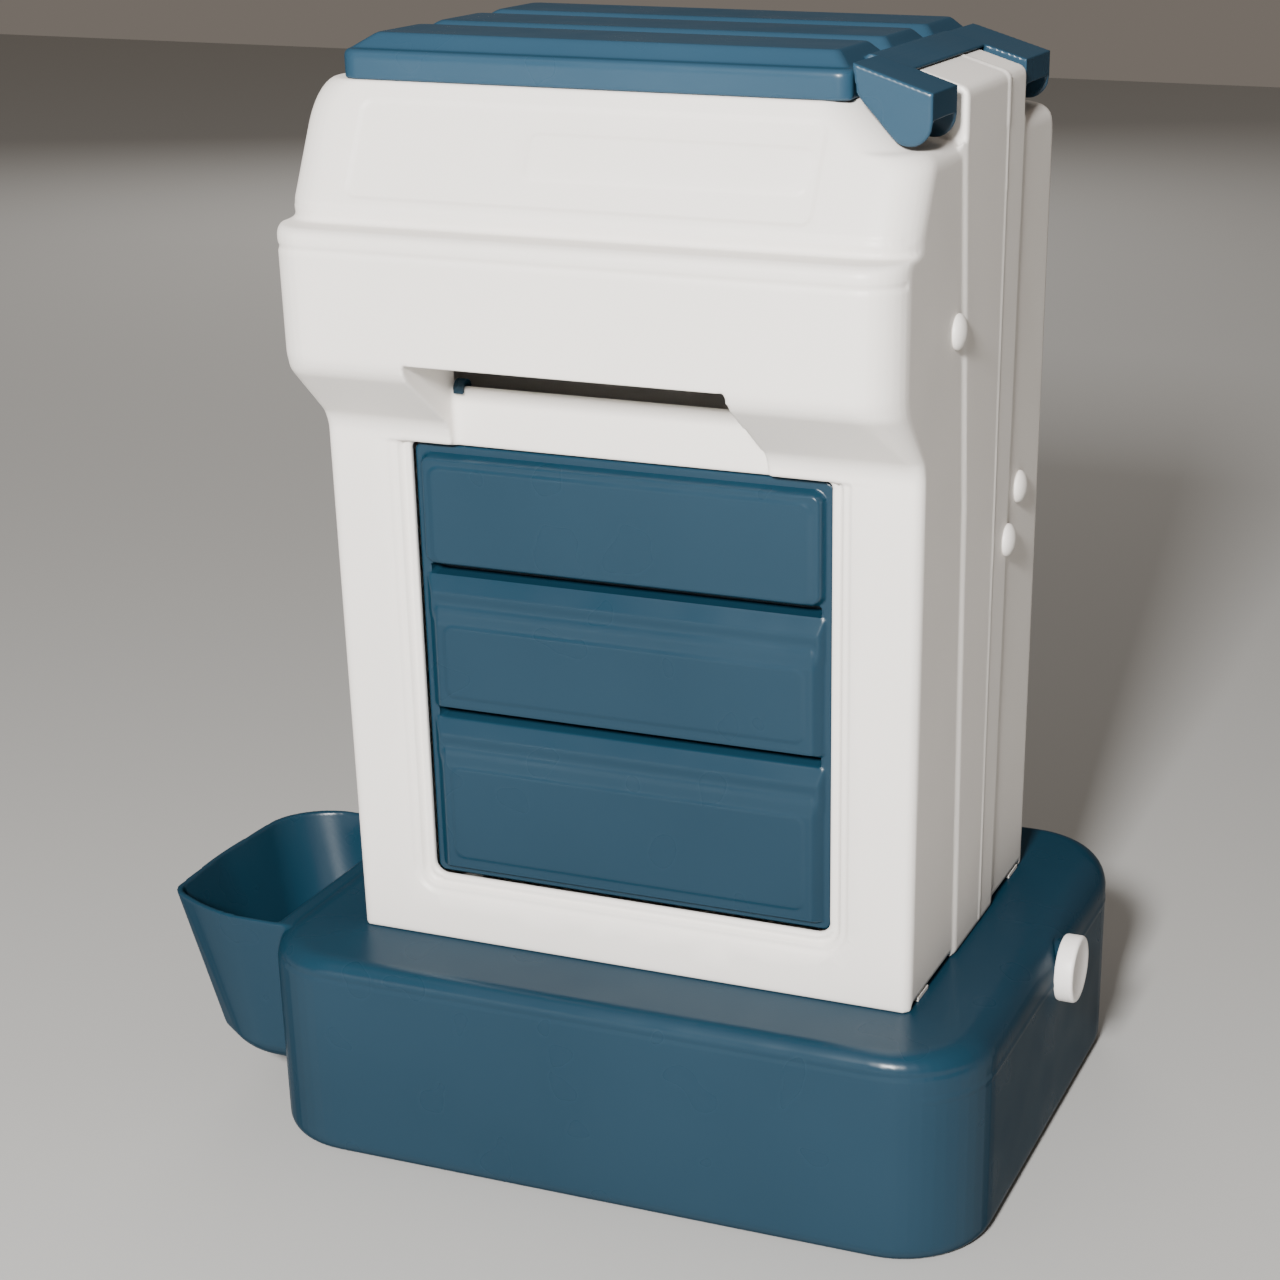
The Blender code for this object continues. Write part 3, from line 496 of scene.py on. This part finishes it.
def trough_outline(drop, inset):
    """The trough's plan, drawing in as it goes down; drop runs from 0 at the rim to 1."""
    tip_in, front_in, rear_in = TROUGH_TAPER
    front = TROUGH_FRONT + front_in * drop + inset
    tip = TROUGH_TIP + tip_in * drop + inset
    rear = TROUGH_REAR - rear_in * drop - inset
    joint = -TANK_HALF[0] + (0.012 if inset == 0 else -GAP)
    bow = tip + TROUGH_BOW * (-TANK_HALF[0] - tip)
    points = [(joint, front, 0.0), (bow, front, 0.120 - 0.080 * drop),
              (tip + TROUGH_SET_BACK, front + TROUGH_FRONT_CORNER, 0.019),
              (tip, OUTLET_Y, 0.150 - 0.050 * drop),
              (tip + TROUGH_SET_BACK, rear - TROUGH_REAR_CORNER, 0.042),
              (tip + TROUGH_REAR_TURN, rear, 0.050 - 0.025 * drop), (joint, rear, 0.0)]
    return rounded(points, 12)


def trough_shape(inset, top):
    floor = TROUGH_FLOOR + inset
    bend = TROUGH_BEND - inset / 2
    sections = []
    for angle in range(0, 76, 15):
        draw = bend * (1 - sin(radians(angle)))
        height = floor + bend * (1 - cos(radians(angle)))
        drop = (TROUGH_RIM - height) / (TROUGH_RIM - TROUGH_FLOOR)
        sections.append((height, trough_outline(drop, inset + draw)))
    sections.append((TROUGH_RIM, trough_outline(0.0, inset)))
    if top > TROUGH_RIM:
        sections.append((top, trough_outline(0.0, inset)))
    return loft(sections)


def tank_detail(points, facing):
    """The front's crease, and the right side's parting line and swelling round the neck."""
    x, y, z = points.T
    front = smooth_step(-facing[:, 1], 0.3, 0.7) * (x > -0.235)
    push = -0.0007 * front * ridge(z - 0.1295, 0.0012)
    side = smooth_step(facing[:, 0], 0.3, 0.7) * (x > 0.200)
    away = np.hypot(y - CAP_CENTRE[0], z - CAP_CENTRE[1])
    push += 0.0006 * side * ridge(z - 0.1135, 0.0011)
    push += 0.0022 * side * ridge(away, 0.030) * (x < TANK_HALF[0] + 0.002)
    return push


def build_tank():
    right = TANK_HALF[0]
    y, z = CAP_CENTRE
    steps = [("UNION", trough_shape(0.0, TROUGH_RIM)),
             ("UNION", rod((right - 0.010, y, z), (right + NECK_LENGTH, y, z), NECK_RADIUS)),
             ("DIFFERENCE", trough_shape(TROUGH_WALL, TANK_TOP + 0.010)),
             ("DIFFERENCE", rod((right - 0.030, y, z), (right + 0.050, y, z), NECK_BORE)),
             ("DIFFERENCE", rod((-right - 0.010, OUTLET_Y, OUTLET_HEIGHT),
                                (-right + 0.014, OUTLET_Y, OUTLET_HEIGHT), OUTLET_RADIUS))]
    mesh = softened(carved(tank_shape(), steps), 0.0016, 3, 170000, tank_detail)
    piece("water_tank", mesh, BLUE, "base", "blue_plastic", "water_base")


# ---------------------------------------------------------------- hopper
def front_profile():
    """The hopper's front from bottom to top, as (setback, height) pairs."""
    points = [(0.0, 0.0, 0), (0.0, 0.342, 0.018), (-0.055, 0.383, 0.018), (-0.055, 0.4635, 0.0065),
              (-0.0325, 0.4650, 0.0015), (-0.0335, 0.4735, 0.0020), (TOP_FRONT_IN, DECK, 0)]
    return rounded(points, 8, closed=False)


def between(value, low, high):
    return min(max((value - low) / (high - low), 0.0), 1.0)


def hopper_section(setback, height, inset):
    """The hopper's outline at a height; the upper right end falls to a shoulder."""
    half = HALF_WIDTH + DRAFT * height - inset
    left, right = -half, half
    if height > SHOULDER:
        rise = between(height, SHOULDER, DECK)
        left += (DECK_LEFT + inset - left) * (1 - sqrt(1 - rise ** 2))
        right = SHOULDER_RIGHT + (DECK_RIGHT - SHOULDER_RIGHT) * rise - inset
    else:
        right -= edge_inset(SHOULDER - height, SHOULDER_ROUND)
    draw = between(height, SHOULDER - 2 * SHOULDER_ROUND, SHOULDER)
    rear = FRONT + DEPTH - inset - TOP_REAR_IN * draw ** 2
    radius = CORNER_LOW + (CORNER_BULGE - CORNER_LOW) * between(height, 0.342, 0.385)
    outline = box_outline(left, right, FRONT + setback + inset, rear,
                          max(radius - inset, 0.002), CORNER_REAR - inset)
    return level(height), outline


def hopper_stations():
    """(setback, height) stations: the front profile, with the shoulder's levels added."""
    lower = [point for point in front_profile() if point[1] < DECK]
    last = lower[-1]
    slope = (TOP_FRONT_IN - last[0]) / (DECK - last[1])
    rise = DECK - SHOULDER
    levels = [SHOULDER - SHOULDER_ROUND * share for share in (1.8, 1.4, 1.0, 0.8, 0.6, 0.4, 0.2, 0.08, 0.0)]
    levels += [SHOULDER + rise * share for share in (0.02, 0.2, 0.4, 0.55, 0.7, 0.82, 0.92, 0.98, 1.0)]
    return lower + [(last[0] + slope * (height - last[1]), height) for height in levels]


def collar_outline(inset):
    """The upstand round the filling mouth."""
    grow = COLLAR_INSET + inset
    front = FRONT + TOP_FRONT_IN + grow
    rear = FRONT + DEPTH - TOP_REAR_IN - grow
    return box_outline(COLLAR_LEFT + inset, DECK_RIGHT - grow, front, rear, 0.018 - inset, 0.012 - inset)


def hopper_outer():
    sections = [hopper_section(setback, height, 0.0) for setback, height in hopper_stations()]
    top = level(DECK)
    return loft(sections + [(top, collar_outline(0.0)), (top + COLLAR_HEIGHT, collar_outline(0.0))])


def hopper_inner():
    """The hollow: the outer shape less the wall, open at the bottom and through the collar."""
    sections = []
    for setback, height in hopper_stations():
        if height < DECK - WALL:
            below = height - WALL if height > 0.44 else height
            sections.append((level(below), hopper_section(setback, height, WALL)[1]))
    sections[0] = (level(-0.010), sections[0][1])
    top = level(DECK)
    mouth = collar_outline(WALL)
    return loft(sections + [(top - WALL, mouth), (top + COLLAR_HEIGHT + 0.010, mouth)])


def recess_shape(grow):
    """The wedge under the overhang, in front of the back panel."""
    low = level(RECESS_LOW)
    top = level(RECESS_TOP + grow)
    outline = [(RECESS_LEFT - grow, low), (RECESS_RIGHT_LOW + grow, low),
               (RECESS_RIGHT_TOP + grow, top), (RECESS_LEFT - grow, top)]
    return prism_y(outline, FRONT - 0.090, FRONT + PANEL_BACK + grow)


def opening(grow, radius, rise=0.0):
    """The door opening's outline, grown at the sides and bottom, and raised at the top."""
    half = OPENING_HALF + grow
    low = level(OPENING_LOW - grow)
    high = level(OPENING_HIGH + rise)
    return rounded([(-half, low, radius), (half, low, radius), (half, high, 0.004), (-half, high, 0.004)], 8)


def side_rib(side):
    """The tapered band up the middle of a side wall."""
    rings = []
    for height, front, rear in RIB_LEVELS:
        wall = HALF_WIDTH + DRAFT * height
        sunk = wall - 0.0006
        outline = [(sunk, front - RIB_FLANK), (wall + RIB_OUT, front), (wall + RIB_OUT, rear),
                   (sunk, rear + RIB_FLANK)]
        rings.append((level(height), [(side * x, y) for x, y in outline]))
    return loft(rings)


def seam(side):
    """The raised parting line up the middle of the rib."""
    rings = []
    for height in (0.002, SHOULDER + 0.016):
        wall = HALF_WIDTH + DRAFT * height + RIB_OUT
        sunk = wall - 0.002
        outline = [(sunk, SEAM[0] - SEAM_FLANK), (wall + SEAM_OUT, SEAM[0]), (wall + SEAM_OUT, SEAM[1]),
                   (sunk, SEAM[1] + SEAM_FLANK)]
        rings.append((level(height), [(side * x, y) for x, y in outline]))
    return loft(rings)


def hinge_block(shrink, front=RIB_FRONT, rear=RIB_REAR):
    """The rib's head between the lid's ears; a negative shrink makes the seam over it."""
    right = HALF_WIDTH + DRAFT * SHOULDER + RIB_OUT - shrink
    left = BLOCK_LEFT + shrink
    base = SHOULDER - 0.004 - 4 * shrink
    outline = [(left, base, 0), (right, base, 0),
               (right, BLOCK_TOP[1] - shrink, 0.006), (left, BLOCK_TOP[0] - shrink, 0.004)]
    return prism_y([(x, level(z)) for x, z in rounded(outline, 6)], front + shrink, rear - shrink)


def hopper_detail(points, facing):
    """The upper slope's shallow panel and plain plate, the door's frame and the bulge's lines."""
    x, y, z = points.T
    height = z - BASE
    front = smooth_step(-facing[:, 1], 0.35, 0.6)
    slope = front * (height > 0.474)
    push = -0.0010 * slope * smooth_step(-box_distance(x, height, *PANEL, 0.006), -0.0012, 0.0012)
    push += 0.0006 * slope * smooth_step(-box_distance(x, height, *PLATE, 0.004), -0.0009, 0.0009)
    around = box_distance(x, height, -OPENING_HALF, OPENING_HALF, OPENING_LOW, 0.3800, 0.006)
    wall = front * (y < FRONT + 0.004) * (height < OPENING_HIGH)
    push += -0.0022 * wall * smooth_step(FRAME_BAND - around, -0.0008, 0.0008)
    outside = smooth_step(np.maximum(-facing[:, 1], np.abs(facing[:, 0])), 0.5, 0.7) * (y < -0.165)
    push += -0.0010 * outside * ridge(height - 0.4520, 0.0015)
    push += -0.0008 * front * ridge(height - 0.4738, 0.0013)
    return push


def frame_cutter():
    """The stepped edge that leads in to the door opening."""
    rows = ((-0.0100, 0.0068, 0.012, 0.0010), (0.0022, 0.0060, 0.011, 0.0010),
            (0.0045, 0.0020, 0.009, 0.0005), (0.0055, 0.0, OPENING_CORNER, 0.0))
    return loft([(FRONT + depth, opening(grow, radius, rise)) for depth, grow, radius, rise in rows], along_y)


def build_hopper():
    thicker = prism_y(opening(0.0165, 0.018, WALL), FRONT - 0.010, FRONT + 0.0095)
    walls = carved_object(temporary(hopper_inner(), "hollow"),
                          [("DIFFERENCE", recess_shape(WALL)), ("DIFFERENCE", thicker)])
    slot = block((SLOT_LOW[0], FRONT + 0.005, level(SLOT_LOW[1])),
                 (SLOT_HIGH[0], FRONT + 0.030, level(SLOT_HIGH[1])))
    pin_hole = rod((HINGE[0], RIB_FRONT - 0.004, level(HINGE[1])),
                   (HINGE[0], RIB_REAR + 0.004, level(HINGE[1])), PIN_HOLE)
    steps = [("DIFFERENCE", recess_shape(0.0)), ("UNION", side_rib(-1)), ("UNION", side_rib(1)),
             ("UNION", hinge_block(0.0)), ("UNION", seam(-1)), ("UNION", seam(1)),
             ("UNION", hinge_block(-0.0007, SEAM[0] - 0.0007, SEAM[1] + 0.0007)),
             ("DIFFERENCE", walls), ("DIFFERENCE", frame_cutter()),
             ("DIFFERENCE", prism_y(opening(0.0, OPENING_CORNER), FRONT - 0.020, FRONT + 0.020)),
             ("DIFFERENCE", slot), ("DIFFERENCE", hinge_block(WALL)), ("DIFFERENCE", pin_hole)]
    for front, rear in NOTCHES:
        notch = block((-0.250, front, level(-0.005)), (0.250, rear, level(NOTCH_HEIGHT)))
        steps.append(("DIFFERENCE", notch))
    mesh = softened(carved(hopper_outer(), steps), 0.0015, 3, 195000, hopper_detail)
    piece("hopper_shell", mesh, ALMOND, "base", "almond_plastic", "hopper_body")


def carved_object(item, steps):
    """Like carved, but from an object and to an object."""
    mesh = item.data.copy()
    solid = bmesh.new()
    solid.from_mesh(mesh)
    bpy.data.objects.remove(item, do_unlink=True)
    return from_mesh(carved(solid, steps), "hollow")


# ---------------------------------------------------------------- turned pieces
def lathe(profile, place, axis, segments=64):
    """A turned mesh from an open (radius, height) profile whose ends lie on the axis."""
    turn = Vector((0, 0, 1)).rotation_difference(Vector(axis)).to_matrix()
    solid = bmesh.new()
    rings = []
    for radius, height in profile:
        if radius == 0:
            rings.append([solid.verts.new(turn @ Vector((0, 0, height)) + Vector(place))])
            continue
        angles = [radians(360 * k / segments) for k in range(segments)]
        spokes = [Vector((radius * cos(a), radius * sin(a), height)) for a in angles]
        rings.append([solid.verts.new(turn @ spoke + Vector(place)) for spoke in spokes])
    for one, two in zip(rings, rings[1:]):
        for k in range(segments):
            n = (k + 1) % segments
            corners = [one[k % len(one)], one[n % len(one)], two[n % len(two)], two[k % len(two)]]
            solid.faces.new(list(dict.fromkeys(corners)))
    bmesh.ops.recalc_face_normals(solid, faces=solid.faces)
    mesh = bpy.data.meshes.new("turned")
    solid.to_mesh(mesh)
    solid.free()
    return mesh


def build_cap():
    place = (CAP_BOX[0][0], *CAP_CENTRE)
    radius, length, inner = CAP_RADIUS, CAP_LENGTH, NECK_RADIUS + 0.0008
    bend, dish, thick = 0.0022, 0.0004, 0.0030
    outside = [(0.0, length - dish), (radius * 0.70, length - dish), (radius * 0.76, length)]
    outside += arc((radius - bend, length - bend), bend, 90, 0, 8)
    rim = [(radius, 0.0016), (radius - 0.0004, 0.0004), (radius - 0.0010, 0.0), (inner + 0.0003, 0.0)]
    inside = [(inner, 0.0004), (inner, length - thick - 0.0002), (inner - 0.0002, length - thick),
              (0.0, length - thick)]
    mesh = lathe(outside + rim + inside, place, (1, 0, 0), 96)
    piece("filler_cap_cover", mesh, WHITE, "cap", "white_plastic", "filler_cap")


def build_plugs():
    rim = 0.0004
    for side, word in ((-1, "left"), (1, "right")):
        for place in ("upper", "rear", "lower"):
            node = f"baffle_plug_{word}_{place}"
            low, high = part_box(node)
            y, z = (low[1] + high[1]) / 2, (low[2] + high[2]) / 2
            tip = high[0] if side > 0 else low[0]
            inner = low[0] if side > 0 else high[0]
            foot = abs(tip) - PLUG_CROWN
            shank = foot - abs(inner)
            profile = [(PLUG_HEAD * sin(radians(a)), rim + (PLUG_CROWN - rim) * cos(radians(a)))
                       for a in range(0, 91, 9)]
            profile += [(PLUG_HEAD, 0.0), (PLUG_SHANK, 0.0), (PLUG_SHANK, -shank), (0.0, -shank)]
            mesh = lathe(profile, (side * foot, y, z), (side, 0, 0), 48)
            piece(node + "_head", mesh, ALMOND, "base", "almond_plastic", node)


# ---------------------------------------------------------------- lid
def lid_shell(inset):
    """The lid's raised pan; with an inset, the hollow under it."""
    base = level(DECK) + GAP
    rows = [(0.0, 0.0)]
    rows += [(LID_SKIRT - LID_EDGE * (1 - sin(radians(a))), LID_EDGE * (1 - cos(radians(a))))
             for a in range(0, 91, 15)]
    sections = []
    for rise, draw in rows:
        height = base + rise
        if inset:
            height = base - 0.002 if rise == 0 else height - inset
        grow = draw + inset
        radius = max(LID_CORNER - grow, 0.003)
        sections.append((height, box_outline(LID_LEFT + grow, DECK_RIGHT - grow, LID_FRONT + grow,
                                             LID_REAR - grow, radius, radius)))
    return loft(sections)


def lid_ridge(front, rear):
    """One raised ridge along the lid, with chamfered sides and ends."""
    low = level(DECK) + GAP + LID_SKIRT - 0.001
    sections = []
    for rise, draw in RIDGE_ROWS:
        sections.append((low + rise, box_outline(LID_LEFT + 0.003 + draw * 1.6, DECK_RIGHT - 0.006 - draw,
                                                 front + draw, rear - draw, 0.004, 0.004, 4)))
    return loft(sections)


def lid_ear(front, rear):
    """One hinge ear, rounded about the hinge; the front one's left edge leans."""
    start, lean = (DECK_RIGHT - 0.0005, 0.0030) if front < 0 else (DECK_RIGHT - 0.004, 0.0)
    outline = [(start, DECK + 0.0210), (start + lean, DECK + 0.0050), (DECK_RIGHT + 0.0052, DECK + 0.0012)]
    outline += arc(HINGE, EAR_RADIUS, 222, 360, 24) + [(EAR_RIGHT, DECK + 0.0065)]
    return prism_y([(x, level(z)) for x, z in outline], front, rear)


def lid_web(front, rear):
    """The sloped strip between the ears, over the edge of the rib's head."""
    left, right = DECK_RIGHT - 0.0070, DECK_RIGHT + 0.0195
    outline = [(left, 0.5565), (DECK_RIGHT - 0.0005, 0.5565), (DECK_RIGHT + 0.0010, 0.5589), (right, 0.5535),
               (right, 0.5551), (DECK_RIGHT - 0.0035, 0.5618), (left, 0.5618)]
    return prism_y([(x, level(z)) for x, z in outline], front, rear)


def ear_hollow(front, rear):
    left, right = DECK_RIGHT - 0.002, EAR_RIGHT - EAR_WALL
    low = HINGE[1] - EAR_RADIUS - 0.010
    outline = [(left, low), (right, low), (right, DECK + 0.0065 - EAR_WALL), (left, DECK + 0.0200 - EAR_WALL)]
    return prism_y([(x, level(z)) for x, z in outline], front + EAR_WALL, rear - EAR_WALL)


def ear_mouth(front, rear):
    """The ear's open right-hand end, below the hinge."""
    return block((HINGE[0] + 0.004, front + EAR_WALL, level(HINGE[1] - 0.020)),
                 (0.200, rear - EAR_WALL, level(HINGE[1] + 0.001)))


def build_lid():
    pitch = (LID_REAR - LID_FRONT - 0.010) / 3
    steps = []
    for index in range(3):
        start = LID_FRONT + 0.005 + pitch * index
        steps.append(("UNION", lid_ridge(start + 0.003, start + pitch - 0.004)))
    steps += [("UNION", lid_ear(front, rear)) for front, rear in EARS]
    steps.append(("DIFFERENCE", lid_shell(LID_WALL)))
    steps.append(("UNION", lid_web(EARS[0][1] - 0.001, EARS[1][0] + 0.001)))
    for front, rear in EARS:
        steps.append(("DIFFERENCE", ear_hollow(front, rear)))
        steps.append(("DIFFERENCE", ear_mouth(front, rear)))
    steps.append(("DIFFERENCE", rod((HINGE[0], EARS[0][1] - 0.010, level(HINGE[1])),
                                    (HINGE[0], EARS[1][0] + 0.010, level(HINGE[1])), PIN_HOLE)))
    mesh = softened(carved(lid_shell(0.0), steps), 0.0011, 6, 130000)
    # The lid takes the lighter copy of the blue plastic, whose extra brightness is painted light.
    piece("lid_cover", mesh, LID_BLUE_PAINTED_LIGHT, "lid", "blue_plastic", "lid")


# ---------------------------------------------------------------- door
DOOR_HALF, DOOR_LOW, DOOR_HIGH = 0.1360, 0.0440, 0.3286
DOOR_FRONT = FRONT + 0.0022
DOOR_DEEP = 0.0068
DOOR_GROOVE = 0.0110
DOOR_CORNER = 0.006
DOOR_WALL = 0.0028
DOOR_EDGE = 0.0016
HOOKS = ((-0.1004, "left"), (0.0890, "right"))
HOOK_RADIUS = 0.0035
HOOK_WALL = 0.0028
HOOK_HALF = 0.00325
# each raised field's low edge, high edge and upper slope
FIELDS = ((0.2522, 0.3235, 0.0035), (0.1577, 0.2470, 0.022), (0.0480, 0.1525, 0.022))


def soft_min(values, blend):
    """A smooth lower envelope of several ramps."""
    stack = np.stack(values)
    return -blend * np.log(np.exp(-stack / blend).sum(0))


def door_setback(x, height):
    """How far the door's face lies behind its highest fields."""
    result = np.full_like(x, DOOR_DEEP)
    for low, high, slope in FIELDS:
        half = DOOR_HALF - 0.0040
        flat = slope < 0.01
        corner = box_distance(x, height, -half, half, low, high, 0.009 if flat else 0.005)
        side = 0.0035 if flat else 0.0075
        ramps = [(high - height) / slope, (height - low) / 0.0014, (half - x) / side, (half + x) / side,
                 -corner / 0.003, np.ones_like(x)]
        rise = np.clip(soft_min([np.clip(ramp, -1, 3) for ramp in ramps], 0.05) + 0.045, 0.0, 1.0)
        field = DOOR_DEEP * rise
        if flat:
            bead = box_distance(x, height, -half + 0.008, half - 0.008, low + 0.002, high - 0.008, 0.007)
            field -= 0.0007 * smooth_step(bead, -0.0018, 0.0018)
        else:
            top = high - slope
            band = np.clip((height - top + 0.0105) / 0.0115, 0.0, 1.0)
            field -= 0.0024 * band * smooth_step(rise, 0.55, 0.95)
            bead = box_distance(x, height, -half + 0.0125, half - 0.0125, low + 0.010, top - 0.0110, 0.006)
            field -= 0.0006 * smooth_step(bead, -0.0014, 0.0014) * smooth_step(top - height, 0.002, 0.010)
        result = np.minimum(result, DOOR_DEEP - field)
    for (low, _, _), (_, high, _) in zip(FIELDS, FIELDS[1:]):
        half = DOOR_HALF - 0.0075
        gap = box_distance(x, height, -half, half, high - 0.0006, low - 0.0002, 0.002)
        result += DOOR_GROOVE * smooth_step(-gap, -0.0006, 0.0010)
    return result


def sheet(x, height, front, back, keep):
    """A closed sheet between two grids of depths, over the grid points to keep."""
    rows, columns = x.shape
    solid = bmesh.new()
    near, far = ([[solid.verts.new((x[i, j], y[i, j], level(height[i, j]))) for j in range(columns)]
                  for i in range(rows)] for y in (front, back))
    whole = keep[:-1, :-1] & keep[1:, :-1] & keep[:-1, 1:] & keep[1:, 1:]
    cells = {(i, j) for i in range(rows - 1) for j in range(columns - 1) if whole[i, j]}
    edges = ((-1, 0, (0, 0), (0, 1)), (1, 0, (1, 1), (1, 0)), (0, -1, (1, 0), (0, 0)), (0, 1, (0, 1), (1, 1)))
    for i, j in cells:
        solid.faces.new((near[i][j], near[i][j + 1], near[i + 1][j + 1], near[i + 1][j]))
        solid.faces.new((far[i][j], far[i + 1][j], far[i + 1][j + 1], far[i][j + 1]))
        for down, right, a, b in edges:
            if (i + down, j + right) not in cells:
                one, two = (i + a[0], j + a[1]), (i + b[0], j + b[1])
                solid.faces.new((near[two[0]][two[1]], near[one[0]][one[1]],
                                 far[one[0]][one[1]], far[two[0]][two[1]]))
    bmesh.ops.delete(solid, geom=[v for v in solid.verts if not v.link_faces], context="VERTS")
    bmesh.ops.recalc_face_normals(solid, faces=solid.faces)
    mesh = bpy.data.meshes.new("door")
    solid.to_mesh(mesh)
    solid.free()
    return mesh


def build_door():
    columns, rows = 231, 321
    x, height = np.meshgrid(np.linspace(-1, 1, columns) * DOOR_HALF, np.linspace(DOOR_LOW, DOOR_HIGH, rows))
    corner = box_distance(x, height, -DOOR_HALF, DOOR_HALF, DOOR_LOW, DOOR_HIGH, DOOR_CORNER)
    front = DOOR_FRONT + door_setback(x, height)
    back = np.maximum(front + DOOR_WALL, FRONT + 0.0120)
    edge = np.clip(-corner / DOOR_EDGE, 0, 1)
    front = front + DOOR_EDGE * (1 - np.sqrt(edge * (2 - edge)))
    mesh = sheet(x, height, front, back, corner < 0.0004)
    piece("door_panel", mesh, BLUE, "door", "blue_plastic", "flap_door")
    mesh.set_sharp_from_angle(angle=radians(50))
    for middle, word in HOOKS:
        hook = softened(carved(door_hook(middle), []), 0.0006, 2, 20000)
        piece(f"door_hook_{word}", hook, BLUE, "door", "blue_plastic")


def door_hook(middle):
    """A strap up behind the back panel that curls forward over its top edge."""
    pivot = (FRONT + PANEL_BACK + WALL / 2, SLOT_LOW[1] - 0.002)
    outer = arc(pivot, HOOK_RADIUS + HOOK_WALL, 0, 200, 20)
    inner = arc(pivot, HOOK_RADIUS, 200, 0, 20)
    near = pivot[0] + HOOK_RADIUS
    foot = 0.3225
    outline = [(near + HOOK_WALL, foot)] + outer + inner + [(near, foot)]
    return prism_x([(y, level(z)) for y, z in outline], middle - HOOK_HALF, middle + HOOK_HALF)


# ---------------------------------------------------------------- carried-over nodes
def dress(node, material, bevel=0.0):
    """Give a node kept from the CAD its material, and bevelled edges if asked."""
    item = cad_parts[node]
    for slot_index in range(max(len(item.material_slots), 1)):
        if not item.material_slots:
            item.data.materials.append(material)
        item.material_slots[slot_index].material = material
    if bevel:
        soft = item.modifiers.new("soft_edges", "BEVEL")
        soft.width = bevel
        soft.segments = 2
        soft.limit_method = "ANGLE"
        soft.angle_limit = radians(40)


build_tank()
build_hopper()
build_cap()
build_plugs()
build_lid()
build_door()
for name in ("feed_baffle", "feed_tray"):
    dress(name, ALMOND, 0.0008)
dress("cap_gasket", RUBBER)
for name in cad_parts:
    if name.startswith(("base_screw", "lid_hinge_pin")):
        dress(name, STEEL)


# ---------------------------------------------------------------- floor, lights and camera
def build_stage():
    solid = bmesh.new()
    bmesh.ops.create_grid(solid, x_segments=8, y_segments=8, size=6.0)
    floor = temporary(solid, "floor")
    material = bpy.data.materials.new("floor_surface")
    material.use_nodes = True
    tree = material.node_tree
    shader = tree.nodes["Principled BSDF"]
    shader.inputs["Roughness"].default_value = 0.75
    grain = tree.nodes.new("ShaderNodeTexNoise")
    grain.inputs["Scale"].default_value = 3.0
    tones = tree.nodes.new("ShaderNodeMix")
    tones.data_type = "RGBA"
    tones.inputs[6].default_value = (0.44, 0.44, 0.43, 1)
    tones.inputs[7].default_value = (0.48, 0.48, 0.47, 1)
    tree.links.new(grain.outputs["Fac"], tones.inputs[0])
    tree.links.new(tones.outputs[2], shader.inputs["Base Color"])
    floor.data.materials.append(material)


def area_light(name, place, target, size, power, colour=(1, 1, 1)):
    light = bpy.data.lights.new(name, "AREA")
    light.shape = "RECTANGLE"
    light.size, light.size_y = size
    light.energy = power
    light.color = colour
    item = bpy.data.objects.new(name, light)
    SCENE.collection.objects.link(item)
    item.location = place
    item.rotation_euler = (Vector(target) - Vector(place)).to_track_quat("-Z", "Y").to_euler()
    return item


WORLD_COLOUR = (1.0, 0.87, 0.75, 1)
WORLD_STRENGTH = 0.18
AIM = (0, 0, 0.35)
CAMERA_AZIMUTH = radians(20.5951)
CAMERA_PITCH = radians(22.6745)
CAMERA_PLACE = (0.6159, -1.4655, 0.8534)
CAMERA_LENS = 71.607
CAMERA_SENSOR = 36
CAMERA_SHIFT = (-0.12010, 0.14417)


def build_lights():
    """A small hard key from the front, weak fills, and a back light no surface mirrors."""
    world = bpy.data.worlds.new("studio")
    SCENE.world = world
    world.use_nodes = True
    background = world.node_tree.nodes["Background"]
    background.inputs["Color"].default_value = WORLD_COLOUR
    background.inputs["Strength"].default_value = WORLD_STRENGTH
    area_light("key", (0.42, -2.62, 1.72), AIM, (0.36, 0.36), 215, (1.0, 0.985, 0.97))
    area_light("card", (-1.20, -2.60, 0.30), (0, 0, 0.30), (1.2, 0.20), 4)
    area_light("top", (-0.60, -1.3, 2.3), AIM, (1.2, 1.0), 3)
    back = area_light("back", (-1.90, 3.60, 2.10), AIM, (2.0, 2.0), 50, (1.0, 0.97, 0.94))
    back.visible_glossy = False


def build_camera():
    camera = bpy.data.cameras.new("camera")
    item = bpy.data.objects.new("camera", camera)
    SCENE.collection.objects.link(item)
    azimuth, pitch = CAMERA_AZIMUTH, CAMERA_PITCH
    back = Vector((sin(azimuth) * cos(pitch), -cos(azimuth) * cos(pitch), sin(pitch)))
    across = Vector((cos(azimuth), sin(azimuth), 0))
    matrix = Matrix((across, back.cross(across), back)).transposed().to_4x4()
    matrix.translation = Vector(CAMERA_PLACE)
    item.matrix_world = matrix
    camera.sensor_width = CAMERA_SENSOR
    camera.lens = CAMERA_LENS
    camera.shift_x, camera.shift_y = CAMERA_SHIFT
    SCENE.camera = item


build_stage()
build_lights()
build_camera()
